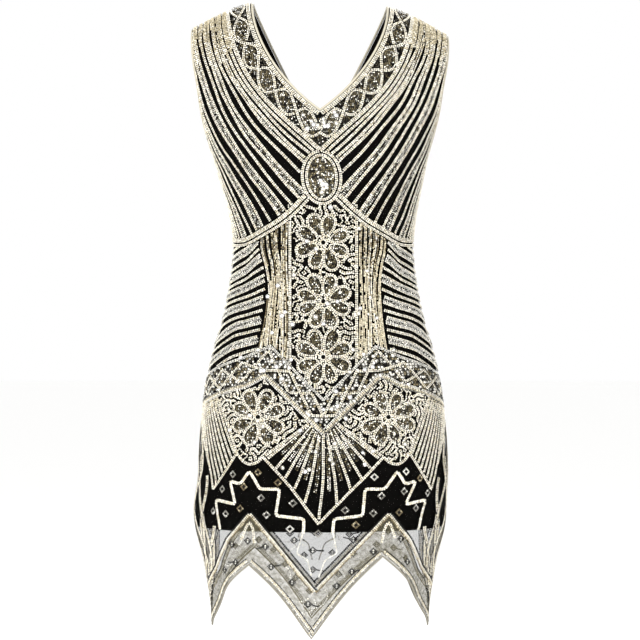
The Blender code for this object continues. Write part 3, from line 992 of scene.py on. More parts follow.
# Where rays are rooted: a place along the roots, its share of the way round, and mm down.
ROOTS = {
    "front": (
        (0, 0.07, 213),
        (42, 0.12, 236),
        (98, 0.18, 284),
        (157, 0.32, 311),
        (226, 0.55, 326),
        (270, 0.71, 337),
    ),
    "back": (
        (0, 0.07, 232),
        (42, 0.11, 256),
        (98, 0.18, 299),
        (157, 0.32, 316),
        (226, 0.55, 328),
        (270, 0.71, 337),
    ),
}
ROOTS_END = (270, 0.0025)  # the last place above, and the share gained by each place beyond it
# The places of the single rays, and of both edges of the wide ones.
SINGLE_RAYS = (7.5, 52.5, 108.5, 171, 236, 287, 329, 366)
WIDE_RAYS = ((22, 33), (73, 88), (129, 147), (196, 216), (253, 266), (303, 314), (343, 353))
RAY_SPREAD, RAY_CLOSES = 0.0054, 2.1  # share gained by each mm up, and how it falls off to the side
RAY_BEND, RAY_STRAIGHT = 13e-6, 0.38  # how rays bend back, and the share of the root where none does
RAY_SWAY, RAY_WAVE = 0.0045, (11, 17)  # no line sewn by hand is quite true; mm to a radian of it
RAY_OVER, RAY_STEP = 30, 1.5  # mm that it is drawn past the shoulder, where it is cut; mm to a step
RAY_CLEAR = 4.5  # mm between a ray's beads and the middle of the underbust line
RAY_FOOT = 16  # mm below its root that a ray may still run, to what stops it
CLOSED_ABOVE = (95, 35)  # mm down where rays begin to widen, and where they touch
FIRST_RAY = 7.2  # mm below the band's edge
RAY_ROOM = 2.6  # mm that a ray's beads keep from those of the next
RAY_STRIP = 3.0  # places from one row of sequins to the next
RAY_SEQUINS = (2.7, 1.3)  # mm: their pitch and their room
RAY_FADE = ((35, 110), 25)  # mm down where beads turn champagne, and how much higher gold


def ray(panel, place):
    """A ray's line on the flat cloth, from below its root up to the shoulder."""
    places, shares, downs = zip(*ROOTS[panel])
    share = np.interp(place, places, shares) + max(0.0, place - ROOTS_END[0]) * ROOTS_END[1]
    down = np.interp(place, places, downs)
    height = np.arange(-RAY_FOOT, down + RAY_OVER, RAY_STEP)
    spread = RAY_SPREAD / (1 + RAY_CLOSES * share)
    bend = RAY_BEND * max(0.0, 1 - share / RAY_STRAIGHT)
    shares = share + spread * height - bend * height**2 * np.sign(height)
    shares += RAY_SWAY * np.sin(height / rng.uniform(*RAY_WAVE) + rng.uniform(0, 6))
    keep = (shares < 1) & (shares > 0)
    return flat_share(shares[keep], down - height[keep])


def above_underbust(panel, beads):
    """Those beads that lie above the underbust line."""
    edge = underbust[panel]
    return beads[beads[:, 1] < np.interp(np.abs(beads[:, 0]), *edge.T) - RAY_CLEAR]


def widening(beads):
    """The inner rows of a ray, and its outer rows where they lie high enough, near the shoulder."""
    start = rng.uniform(*sorted(CLOSED_ABOVE), 4)[beads[:, 4].astype(int)]
    return beads[(beads[:, 1] < start) | np.isin(beads[:, 4], (1, 2))]


pitch, room = RAY_SEQUINS
for panel in PANELS:
    beads, fill = [], []
    for side in SIDES:
        edge = mirrored(beside(panel, band_edges[panel], FIRST_RAY), side)
        found = strand(panel, edge, rows_of(4))
        beads.append(threaded(panel, widening(found), "cream", RAY_ROOM))
        for place in SINGLE_RAYS:
            path = mirrored(ray(panel, place), side)
            found = above_underbust(panel, strand(panel, path, rows_of(4)))
            beads.append(threaded(panel, widening(found), "cream", RAY_ROOM))
        for low, high in WIDE_RAYS:
            for place in (low, high):
                path = mirrored(ray(panel, place), side)
                found = above_underbust(panel, strand(panel, path, rows_of(4)))
                beads.append(threaded(panel, widening(found), "cream"))
            for place in np.arange(low + 2, high, RAY_STRIP):
                path = mirrored(ray(panel, place), side)
                found = above_underbust(panel, strand(panel, path, pitch=pitch))
                fill.append(mixed(threaded(panel, found, "cream", room), "silver"))
    fade, higher = RAY_FADE
    cream, champagne, gold = range(3)
    for part in beads:
        high = rng.uniform(*fade, len(part))
        part[(part[:, 1] < high) & (part[:, 4] == cream), 4] = champagne
        part[(part[:, 1] < high - higher) & (part[:, 4] == champagne), 4] = gold
    beaded(f"{panel}_bust_rays", panel, beads)
    sequined(f"{panel}_bust_ray_sequins", panel, fill, SMALL_SEQUIN)


# ---- Hip band ---------------------------------------------------------------------------------
# A pointed band dips at the centre and peaks over each hip: two rows of beads along its upper edge,
# four along its lower one, and between them a lattice of crossing strands with silver and bronze
# sequins in its diamonds.

HIP_TOP = ((0, 559), (73, 485))  # mm out and down: at the centre, and at the peak over the hip
HIP_LOW = ((0, 604), (80, 525))
HIP_BEND = (110, 500, 0.35)  # mm out and down, and the share of the drop from peak to seam
HIP_SEAM = (532, 572)
HIP_LOW_ROWS = ("silver", "cream", "champagne", "grey")
HIP_LATTICE = (0.10, 0.88)  # shares of the way down the band between which the strands cross
HIP_STEPS = 400
HIP_DIAMONDS = 6.5  # on each side
HIP_SWING = 0.43
HIP_SEQUIN = (2.7, 0.8)  # mm: its radius and its lift
HIP_SEQUIN_PITCH = 4.5


def hip_edge(corners, seam):
    out, level, fall = HIP_BEND
    path = spaced(np.vstack([corners, (out, lerp(corners[1][1], seam, fall))]), 1.0)
    path = flat(*path.T)
    share = np.linspace(turn_at(out * MM, -level * MM), 1, 60)
    down = lerp(path[-1, 1], seam, (share - share[0]) / (1 - share[0]))
    return np.vstack([path[:-1], flat_share(share, down)])


hip_edges = [hip_edge(HIP_TOP, HIP_SEAM[0]), hip_edge(HIP_LOW, HIP_SEAM[1])]
for panel in PANELS:
    beads = pair(panel, hip_edges[0], 2, "silver")
    beads += pair(panel, hip_edges[1], len(HIP_LOW_ROWS), HIP_LOW_ROWS)
    inner, outer = (between(*hip_edges, np.full(HIP_STEPS, share)) for share in HIP_LATTICE)
    phase = np.linspace(0.5, 0.5 + HIP_DIAMONDS, HIP_STEPS) * math.pi
    wave = 2 / math.pi * np.arcsin(np.cos(phase))
    for sign in (-1, 1):
        beads += pair(panel, between(inner, outer, 0.5 + sign * HIP_SWING * wave), 2)
    beaded(f"{panel}_hip_band", panel, beads)
    fill = []
    for side in SIDES:
        shape = mirrored(np.vstack([hip_edges[0], hip_edges[1][::-1]]), side)
        fill.append(sequins(panel, shape, "lattice", HIP_SEQUIN_PITCH))
        claim_inside(panel, shape)
    sequined(f"{panel}_hip_band_sequins", panel, fill, *HIP_SEQUIN)


# ---- Centre panel -----------------------------------------------------------------------------
# Three flowers stand one above another down the centre. Each has eight petals outlined in beads and
# filled with bronze sequins. Winding double strands, vermicelli, cover the net around them.

FLOWERS = ((0, 342), (0, 423), (0, 500))
FLOWER_RADIUS = 40.0
PETALS = 8
PETAL = (15.5, 8.8, 24.0)  # half its length, half its width, its middle from the flower's
PETAL_FULL = 0.35  # how much fuller than an oval a petal is in its outer half
PETAL_TURN = 0.04  # radians that a petal may stray from its place
PETAL_SIZES = (0.86, 1.06)
PETAL_INSIDE = -0.8  # mm from its outline to its sequins
PETAL_PITCH = 2.7
HEART_PITCH = 2.3
PETAL_ROOM = 1.8  # mm that a petal's beads keep from their neighbours, so that net shows between
EYE = 5.0
CENTRE_TOP = 290
CENTRE_HALF_WIDTH = 46.0
STRAND_PITCH = 6.4  # mm from the middle of one strand of vermicelli to the next
STRAND_HALF = 1.02  # mm from a strand's middle to each of its two rows
STRAND_ROUNDS = 12
STRAND_BEND = 0.5  # how far the waves that make the strands may stray from their pitch
STRAND_LEAST = 3.7  # mm from end to end of the shortest strand that is sewn
STRAND_PLAN = ((-176, 275), (176, 665))  # mm around and down
STRAND_CUT, STRAND_PULL = 3, 0.7  # how sharply its waves are cut, and how fast a bead is drawn to it
STRAND_STARTS = 5  # square mm to each place where a strand is tried
STRAND_STEPS = 4  # from one bead of a strand to the next
# The cells of the plan round a bead's own that it takes while its strand is laid.
STRAND_ROOM = np.hypot(*np.mgrid[-2:3, -2:3]) * CELL <= 1.2


def petal_outline(centre, turn, size, grow=0.0):
    angle = np.linspace(0, 2 * math.pi, 48, endpoint=False)
    along = (PETAL[0] * size + grow) * np.cos(angle)
    aside = (PETAL[1] * size + grow) * np.sin(angle) * (1 + PETAL_FULL * np.cos(angle))
    along = along + PETAL[2] - PETAL[0] * (1 - size)
    return np.stack(
        [
            centre[0] + along * math.sin(turn) + aside * math.cos(turn),
            centre[1] - along * math.cos(turn) + aside * math.sin(turn),
        ],
        -1,
    )


def flower(panel, centre):
    """(beads, sequins) of one flower. No two of its petals are quite alike."""
    eye = ring(centre, (EYE, EYE), 40)
    beads = [line(panel, flat(*closed(eye).T), 2, room=PETAL_ROOM)]
    claim_inside(panel, flat(*eye.T))
    fill = []
    turns = (np.arange(PETALS) + 0.5) * 2 * math.pi / PETALS + rng.normal(0, PETAL_TURN, PETALS)
    sizes = rng.uniform(*PETAL_SIZES, PETALS)
    for turn, size in zip(turns, sizes):
        outline = closed(petal_outline(centre, turn, size))
        beads.append(line(panel, flat(*outline.T), 2, room=PETAL_ROOM))
    for turn, size in zip(turns, sizes):
        shape = flat(*petal_outline(centre, turn, size, PETAL_INSIDE).T)
        fill.append(sequins(panel, shape, "bronze", PETAL_PITCH))
        claim_inside(panel, shape)
    heart = ring(centre, (FLOWER_RADIUS / 2, FLOWER_RADIUS / 2))
    beads.append(filled(panel, flat(*heart.T), "champagne", HEART_PITCH))
    return beads, fill


def winding_plan():
    """A plan over the flat cloth whose ridges wind and fork, a strand's pitch apart, and its slopes."""
    low, high = STRAND_PLAN
    wide, tall = (int((high[i] - low[i]) / CELL) for i in (0, 1))
    plan = rng.standard_normal((tall, wide))
    waves = np.hypot(np.fft.fftfreq(tall, CELL)[:, None], np.fft.rfftfreq(wide, CELL)[None])
    keep = np.exp(-(((waves * STRAND_PITCH - 1) / STRAND_BEND) ** 2))
    for _ in range(STRAND_ROUNDS):
        cut = np.tanh(STRAND_CUT * plan / plan.std())
        plan = np.fft.irfft2(np.fft.rfft2(cut) * keep, plan.shape)
    plan = plan / plan.std() / math.sqrt(2)
    return plan, *np.gradient(plan, CELL)


def wind(place, steps, sense, step):
    """A place moved along one row of a strand, and the way that the row runs there."""
    level = math.cos(2 * math.pi * STRAND_HALF / STRAND_PITCH)
    way = np.zeros(2)
    for _ in range(steps):
        col, row = np.round((place - STRAND_PLAN[0]) / CELL).astype(int) % ridges.shape[::-1]
        slope = np.array([over_slope[row, col], down_slope[row, col]])
        steep = slope @ slope
        way = sense * np.array([-slope[1], slope[0]]) / math.sqrt(steep)
        drawn = slope * (level - ridges[row, col]) / max(0.25, steep) * STRAND_PULL
        place = place + way * step + drawn
    return place, way


def vermicelli(panel, outline):
    """Vermicelli inside an outline: strands of two rows that wind about, close together."""
    free = taken[panel].copy()
    taken[panel][:] = True
    inside = plan_inside(outline)
    taken[panel][inside] = free[inside]
    low, high = outline.min(0), outline.max(0)
    step = BEAD_PITCH / STRAND_STEPS
    found = []
    for start in rng.uniform(low, high, (int(np.prod(high - low) / STRAND_STARTS), 2)):
        start, way = wind(start, 5, 1, 0.0)
        run = []
        for sense in SIDES:
            place = start if sense < 0 else wind(start, STRAND_STEPS, sense, step)[0]
            while has_room(panel, place[None])[0]:
                row, col = (int(index[0]) for index in cells(place[None]))
                taken[panel][row - 2 : row + 3, col - 2 : col + 3] |= STRAND_ROOM
                run.append((*place, *way, 0))
                place, way = wind(place, STRAND_STEPS, sense, step)
        if run and np.ptp(np.array(run)[:, :2], axis=0).max() > STRAND_LEAST:
            found += run
    taken[panel] = free
    return threaded(panel, np.array(found), "cream", CLOSE_ROOM)


ridges, down_slope, over_slope = winding_plan()
for panel in PANELS:
    beads, fill = [], []
    for centre in FLOWERS:
        made = flower(panel, centre)
        beads += made[0]
        fill += made[1]
    low = HIP_TOP[0][1] + CENTRE_HALF_WIDTH * (HIP_TOP[1][1] - HIP_TOP[0][1]) / HIP_TOP[1][0]
    box = [(-1, CENTRE_TOP), (1, CENTRE_TOP), (1, low), (0, HIP_TOP[0][1]), (-1, low)]
    outline = flat(*spaced(np.array(box) * (CENTRE_HALF_WIDTH, 1), 2.0, True).T)
    for side in SIDES:
        edge = spaced([(CENTRE_HALF_WIDTH, CENTRE_TOP), (CENTRE_HALF_WIDTH, low)])
        beads.append(line(panel, flat(*mirrored(edge, side).T), 2))
    beads.append(vermicelli(panel, outline))
    beaded(f"{panel}_centre_flowers", panel, beads)
    sequined(f"{panel}_centre_flower_sequins", panel, fill)
    claim_inside(panel, outline)


# ---- Waist columns ----------------------------------------------------------------------------
# Beside the centre panel six ropes of beads draw in to the waist. Above it dark net shows between
# them, and their beads are painted duller towards the bust as painted shade; below it a third row
# fills each rope out. Brown beads fill the gaps between ropes where there is room for them.

COLUMN_INNER = 48.5
COLUMN_DOWN = (285, 560)  # mm down, more than the ropes' whole length
COLUMN_OUTER = ((285, 93), (346, 90), (372, 83), (403, 79), (440, 83), (490, 92), (560, 104))
COLUMN_ROPES = 6
COLUMN_SWAY, COLUMN_WAVE = 1.6, (22, 34)  # mm, and mm to a radian of it
COLUMN_EDGE = 1.0  # mm from the outer rope's edge to the columns'
FILLER_PLACE = 0.1  # share of a rope's width, from its inner edge, where a brown row is tried
COLUMN_ROOM = 1.7  # mm that a rope's beads keep from their neighbours
COLUMN_PITCH = 2.4
COLUMN_TONES = ("cream", "champagne", "brown")
COLUMN_SHARES = (0.30, 0.62, 0.08)
COLUMN_FULL = (405, 45)  # mm down, from where a rope has its third row, and how much that varies
COLUMN_PAINTED_SHADE = (400, 110, 0.7)  # mm down where the beads painted dull as shade begin, mm up to the most, their share
PAINTED_SHADE_TONES = ("gold", "grey", "brown")
COLUMN_FOOT = (92.0, 490.0)  # mm out and down, where the outer edge meets the hip band
WAIST_CLEAR = (5.0, 2.5)  # mm below the underbust line, and above the hip band

column_outer = flowing(COLUMN_OUTER)


def within_waist(panel, beads):
    """Those beads that lie between the underbust line and the hip band."""
    around = np.abs(beads[:, 0])
    low = np.interp(around, *underbust[panel].T) + WAIST_CLEAR[0]
    high = np.interp(around, *hip_edges[0].T) - WAIST_CLEAR[1]
    return beads[(beads[:, 1] > low) & (beads[:, 1] < high)]


for panel in PANELS:
    beads = []
    down = np.arange(*COLUMN_DOWN, 1.0)
    outer = np.interp(down, column_outer[:, 0], column_outer[:, 1])
    for side in SIDES:
        for i in range(COLUMN_ROPES):
            sway = COLUMN_SWAY * np.sin(down / rng.uniform(*COLUMN_WAVE) + rng.uniform(0, 6))
            across = lerp(COLUMN_INNER, outer - COLUMN_EDGE, (i + 0.5) / COLUMN_ROPES) + sway
            path = mirrored(flat(across, down), side)
            for aside in rows_of(3):
                found = within_waist(panel, strand(panel, path, (aside,), COLUMN_PITCH))
                full = rng.normal(*COLUMN_FULL)
                found = found[(aside < 1) | (found[:, 1] > full)]
                tone = str(rng.choice(COLUMN_TONES, p=COLUMN_SHARES))
                beads.append(threaded(panel, found, tone, COLUMN_ROOM))
        for i in range(1, COLUMN_ROPES):
            across = lerp(COLUMN_INNER, outer - COLUMN_EDGE, (i + FILLER_PLACE) / COLUMN_ROPES)
            found = within_waist(panel, strand(panel, mirrored(flat(across, down), side)))
            beads.append(threaded(panel, found, "brown", CLOSE_ROOM))
        limit = hip_edges[0][hip_edges[0][:, 0] < around_at(*COLUMN_FOOT)]
        flank = flat(outer + COLUMN_EDGE, down)[down < COLUMN_FOOT[1]]
        shape = np.vstack([flat([0], COLUMN_DOWN[:1]), limit, flank[::-1]])
        claim_inside(panel, mirrored(shape, side))
    # Painted shade under the bust: the higher a bead sits above the waist, the likelier it is given a
    # duller tone.
    shade_from, shade_over, shade_share = COLUMN_PAINTED_SHADE
    for part in beads:
        shaded = rng.random(len(part)) < np.clip((shade_from - part[:, 1]) / shade_over, 0, shade_share)
        part[shaded, 4] = rng.choice([list(BEAD_TONES).index(tone) for tone in PAINTED_SHADE_TONES], shaded.sum())
    beaded(f"{panel}_waist_columns", panel, beads)


# ---- Side stripes -----------------------------------------------------------------------------
# From the columns to the side seam the waist is striped: a line of two rows of beads, a dark gap, a
# wide band of beads round a strip of silver sequins, a dark gap. All drop to the seam, most near it.

STRIPE_TOPS = (293, 320, 348, 375, 402, 430, 457, 484, 511)
STRIPE_NARROW = 5.3  # mm below its top to its narrow line
STRIPE_BAND = (18.6, 5.0)  # mm below its top to its wide band, and from there to its outer rows
STRIPE_START = 0.04  # share of the way round that it starts inside the column's edge
STRIPE_SEQUINS = (2.0, 1.0)  # mm: from row to row, and their room
STRIPE_BAND_TONES = ("cream", "silver", "silver", "cream")
# How far a stripe has dropped at these shares of the way round, by mm down of its start.
STRIPE_SHARES = (0.40, 0.52, 0.62, 0.72, 0.85, 1.0)
STRIPE_DROPS = {
    363: (-12, 0, 12, 18, 24, 28),
    402: (-2, 7, 11.5, 15, 19, 23),
    431: (0, 6.5, 10, 13.5, 20, 33),
    459: (0, 5, 8.5, 16, 27, 38),
    493: (0, 7, 14, 24, 35, 45),
}


def stripe(top):
    """A stripe's line on the flat cloth, from the column to the seam."""
    heights = list(STRIPE_DROPS)
    drops = [np.interp(top, heights, column) for column in zip(*STRIPE_DROPS.values())]
    points = flowing(np.stack([STRIPE_SHARES, drops], -1))
    start = turn_at(np.interp(top, column_outer[:, 0], column_outer[:, 1]) * MM, -top * MM)
    points = points[points[:, 0] > start - STRIPE_START]
    return flat_share(points[:, 0], top + points[:, 1])


for panel in PANELS:
    beads, fill = [], []
    for top in STRIPE_TOPS:
        for side in SIDES:
            path = stripe(top + STRIPE_NARROW)
            found = within_waist(panel, strand(panel, mirrored(path, side), rows_of(2)))
            beads.append(threaded(panel, found, "cream"))
            middle, out = STRIPE_BAND
            path = stripe(top + middle)
            found = strand(panel, mirrored(path, side), (-out, ROW_PITCH - out, out - ROW_PITCH, out))
            beads.append(threaded(panel, within_waist(panel, found), STRIPE_BAND_TONES))
            apart, room = STRIPE_SEQUINS
            found = within_waist(panel, strand(panel, mirrored(path, side), rows_of(2, apart)))
            fill.append(mixed(threaded(panel, found, "cream", room), "pale"))
    beaded(f"{panel}_side_stripes", panel, beads)
    sequined(f"{panel}_side_stripe_sequins", panel, fill, SMALL_SEQUIN)


# ---- Hip flowers and fans ---------------------------------------------------------------------
# Under the band a flower sits on each hip in a field of vermicelli. Below the centre point a fan of
# rays opens, with black net and two rows of sequins between rays. The side is closely fluted.

FAN_HEART = (0, 577)  # where the rays would meet, behind the hip band
FIELD_CORNERS = ((16, 588), (40, 560), (80, 520), (146, 540))
FAN_SIDE, FAN_LOW, FAN_FOOT = (83, 638), (41, 682), (0, 729)
FAN_RAYS = 5
FAN_TURN = 5.3  # angles between rays from the centre line to the fan's side
FAN_REACH = 160  # mm, more than the longest ray
FAN_STRIP = (22, 0.80)  # mm along to its start, and the share of the length where it ends
FAN_SEQUINS = (2.7, 1.2)  # mm: their pitch and their room
FAN_GLINT = (0.5, 9.0)  # share of the strips with a stretch of painted glint, and half its height
SCALLOP = ((83, 638), (91, 645), (102, 648), (112, 643), (119.5, 633))
HIP_FLOWER = (90, 583)
FIELD_SIDE = ((146, 560), (131, 600), (119.5, 633))
FLUTES = 12
FLUTE_TURN = 0.62  # share of the flutes that end on the slanting foot, not on the side
FLUTE_FOOT = ((119.5, 633), (152, 685))
FLUTE_SIDE = ((152, 685), (160, 647), (165, 618), (169, 597), (171.5, 576))
FLUTE_TOP = (0.99, 575)  # share of the way round, and mm down
FLUTES_CLOSED = 580  # mm down, above which no net shows between them
FLUTE_FILL = (2.5, 1.0)  # mm: the pitch and the room of the beads that close them up

for panel in PANELS:
    beads = []
    for corners in (
        (FAN_SIDE, FAN_LOW, FAN_FOOT),
        (FAN_HEART, FAN_SIDE),
        FIELD_SIDE,
        FLUTE_FOOT + FLUTE_SIDE[1:],
    ):
        beads += pair(panel, flat(*spaced(corners).T), 2)
    beads += pair(panel, flowing(flat(*np.array(SCALLOP, float).T)), 2)
    beaded(f"{panel}_hip_lines", panel, beads)

    beads, fill = [], []
    corners = [*FIELD_CORNERS, *FIELD_SIDE, *SCALLOP[::-1][1:]]
    field = flat(*spaced(corners, 2.0, True).T)
    for side in SIDES:
        made = flower(panel, (HIP_FLOWER[0] * side, HIP_FLOWER[1]))
        beads += made[0]
        fill += made[1]
        beads.append(vermicelli(panel, mirrored(field, side)))
        claim_inside(panel, mirrored(field, side))
    beaded(f"{panel}_hip_flowers", panel, beads)
    sequined(f"{panel}_hip_flower_sequins", panel, fill)

    beads, fill = [], []
    fan = np.array([FAN_HEART, FAN_SIDE, FAN_LOW, FAN_FOOT], float)
    spread = math.atan2(FAN_SIDE[1] - FAN_HEART[1], FAN_SIDE[0]) - math.pi / 2
    for i in np.arange(0, FAN_RAYS + 0.1, 0.5):
        angle = math.pi / 2 + spread * i / FAN_TURN
        way = np.array([math.cos(angle), math.sin(angle)])
        path = spaced([FAN_HEART, FAN_HEART + way * FAN_REACH], 1.0)
        path = flat(*path[within(fan, path + (0.01, 0))].T)
        if i % 1:
            start, end = FAN_STRIP
            pitch, room = FAN_SEQUINS
            glints, height = FAN_GLINT
            beyond = path[start : int(end * len(path))]
            for side in SIDES:
                found = strand(panel, mirrored(beyond, side), rows_of(2, pitch), pitch)
                strip = mixed(threaded(panel, found, "cream", room), "fan")
                glint = rng.uniform(*beyond[[0, -1], 1])
                # Painted glint: on some strips a stretch of sequins is painted near-white, as if turned
                # to the light.
                if rng.random() < glints:
                    painted_glint = list(SEQUIN_TONES).index("painted_glint")
                    strip[np.abs(strip[:, 1] - glint) < height, 4] = painted_glint
                fill.append(strip)
        else:
            beads += pair(panel, path, 2)[: 1 if i == 0 else 2]
    for side in SIDES:
        claim_inside(panel, mirrored(flat(*spaced(fan, 1.0, True).T), side))
    beaded(f"{panel}_centre_fan", panel, beads)
    sequined(f"{panel}_centre_fan_sequins", panel, fill, SMALL_SEQUIN)

    beads = []
    top_in, top_out = flat(*FIELD_SIDE[0]), flat_share(*FLUTE_TOP)
    foot, flank = flat(*spaced(FLUTE_FOOT).T), flat(*spaced(FLUTE_SIDE).T)
    for share in (np.arange(FLUTES) + 0.5) / FLUTES:
        edge, along = (flank, share - FLUTE_TURN)
        if share < FLUTE_TURN:
            edge, along = (foot, share / FLUTE_TURN)
        low = edge[int(min(1.0, along) * (len(edge) - 1))]
        path = spaced([lerp(top_in, top_out, share), low], 1.0)
        beads += pair(panel, path, 2)
    limit = np.vstack([foot, flank, top_out[None], flat([110], [500]), flat(*spaced(FIELD_SIDE).T)])
    for side in SIDES:
        closed_up = filled(
            panel,
            mirrored(limit, side),
            "champagne",
            *FLUTE_FILL,
            lambda places: places[:, 1] < FLUTES_CLOSED,
        )
        beads.append(closed_up)
        claim_inside(panel, mirrored(limit, side))
    beaded(f"{panel}_side_flutes", panel, beads)


# ---- Stepped line -----------------------------------------------------------------------------
# Below the fans one rounded line of two rows steps up and down across plain black net. It goes on
# over the open net as a single silver row.

STEPS = (
    (137, 741), (146, 699), (117.5, 704), (129, 672), (114, 676), (102, 657.5), (86, 682),
    (58.5, 681.4), (60, 718), (20.5, 722), (20, 740), (28, 770), (12, 778), (5, 802),
)
STEP_ROUND = 4.0  # mm cut off each corner
STEP_OPEN = 742  # mm down, where the lining behind it ends
STEP_BEAD = 1.35  # mm, the radius of its beads


def eased(points, cut):
    """A line of straight stretches with its corners rounded."""
    points = np.asarray(points, float)
    path = [points[0]]
    for before, corner, after in zip(points, points[1:], points[2:]):
        ends = []
        for end in (before, after):
            reach = np.linalg.norm(end - corner)
            ends.append(corner + (end - corner) * min(0.45, cut / reach))
        path += [ends[0], (ends[0] + ends[1]) / 4 + corner / 2, ends[1]]
    path.append(points[-1])
    return spaced(np.array(path))


for panel in PANELS:
    steps = eased(STEPS, STEP_ROUND)
    beads = pair(panel, flat(*steps[steps[:, 1] < STEP_OPEN].T), 2)
    beads += pair(panel, flat(*steps[steps[:, 1] >= STEP_OPEN].T), 1, "silver")
    beaded(f"{panel}_stepped_line", panel, beads, STEP_BEAD)


# ---- Chevron line and net points --------------------------------------------------------------
# Rows of beads edge the zigzag hem, and on the open net a chevron of five follows it, black above and
# cream to brown below, with a small arch under each peak. Strands cross towards the sides. Diamonds
# of sixteen beads and curls of silver ones are scattered over the net round all these.

CHEVRON_OUT = ((0, 823), (96, 716), (125, 753), (145, 795))
CHEVRON_ROUND = 3.0  # mm cut off each corner
CHEVRON_BEND = 795  # mm down, from where it runs on to the seam
CHEVRON_SEAM = 830
CHEVRON_LOWER = {"front": 0, "back": 17}
NET_ROOM = 1.3  # mm that beads on the open net keep from their neighbours
CHEVRON_ROWS = (("black", -4.2), ("black", -3.1), ("cream", -1.2), ("champagne", 0.85), ("brown", 2.7))
LOOP = ((88, 756), (91, 737), (96, 729), (101, 737), (106, 752))
HEM_ROWS = {
    "front": (("grey", 1.3), ("cream", 3.3), ("champagne", 5.2), ("black", 6.9)),
    "back": (("grey", 1.3), ("grey", 3.3)),
}
BRAID_COLUMNS = ("share", "swing", "waves", "phase", "top")
BRAID = (
    (0.93, 0.040, 4.6, 0.0, 592),
    (0.86, 0.050, 4.2, 3.1, 612),
    (0.80, 0.050, 3.7, 0.8, 640),
    (0.76, 0.045, 3.7, 3.9, 668),
    (0.70, 0.040, 3.0, 1.2, 705),
    (0.66, 0.045, 5.0, 5.0, 735),
    (0.61, 0.030, 3.0, 1.5, 748),
)
BRAID_CLOSES, BRAID_TIP = 740, 868  # mm down
BRAID_SPAN = 276  # mm over which a strand makes its half waves
BRAID_MEETS = 0.975  # share of the way round where all strands end
BRAID_ROWS = ("black", "cream", "champagne", "cream", "black")
SCROLLS = 26
SCROLL_BEAD, DIAMOND_BEAD = 0.9, 1.1  # mm, radii
SCROLL_STITCH = (3.3, 1.8)  # mm: the pitch and the room of a scroll's beads
SCROLL_RADIUS, SCROLL_TURN = (8, 17), (1.5, 3.4)  # mm, and the radians that it turns through
DIAMOND_BEADS = 4  # along each of its sides
DIAMOND_STEP = 2.0
DIAMOND_TRIES = 4000
DIAMOND_APART = 24.0
DIAMOND_CLEAR = 1.5  # how many times its own size has to be free
DIAMOND_STEMS = 0.6  # share of those on the open net that have a stem
DIAMOND_STEM = (4.0, 9.0)  # mm from its middle to the stem, and the stem's length
UPPER_NET = ((-150, 640), (150, 640), (150, 715), (0, 745), (-150, 715))
LOWER_NET = ((-125, 745), (0, 748), (125, 745), (130, 800), (0, 880), (-130, 800))
UPPER_EDGES = ("silver", "grey", "grey", "grey", "brown")
LOWER_HEART = ("silver", "black", "black", "silver")


def diamonds(panel, outline, rims, heart, stems=0.0):
    """Small diamonds of beads scattered inside an outline, clear of all else, some with a stem."""
    low, high = outline.min(0), outline.max(0)
    index = np.mgrid[0:DIAMOND_BEADS, 0:DIAMOND_BEADS].reshape(2, -1).T
    turned = (index - (DIAMOND_BEADS - 1) / 2) @ np.array([(1, 1), (-1, 1)])
    turned = turned * DIAMOND_STEP / math.sqrt(2)
    inner = (index.min(1) > 0) & (index.max(1) < DIAMOND_BEADS - 1)
    number = np.where(inner, np.cumsum(inner), 0)
    found, spots = [], []
    start, length = DIAMOND_STEM
    for spot in rng.uniform(low, high, (DIAMOND_TRIES, 2)):
        if spots and np.hypot(*(np.array(spots) - spot).T).min() < DIAMOND_APART:
            continue
        if within(outline, spot[None])[0] and has_room(panel, spot + turned * DIAMOND_CLEAR).all():
            spots.append(spot)
            places = np.column_stack([spot + turned, np.tile((0.7, 0.7), (len(turned), 1)), number])
            found.append(threaded(panel, places, (str(rng.choice(rims)), *heart), 1.0))
            if rng.random() < stems:
                way = rng.choice(SIDES) * np.array([1.0, rng.uniform(-0.3, 0.3)])
                stem = spaced([spot + way * start, spot + way * (start + length)], 1.0)
                found.append(line(panel, stem, 1, "black", 2.0))
    return found


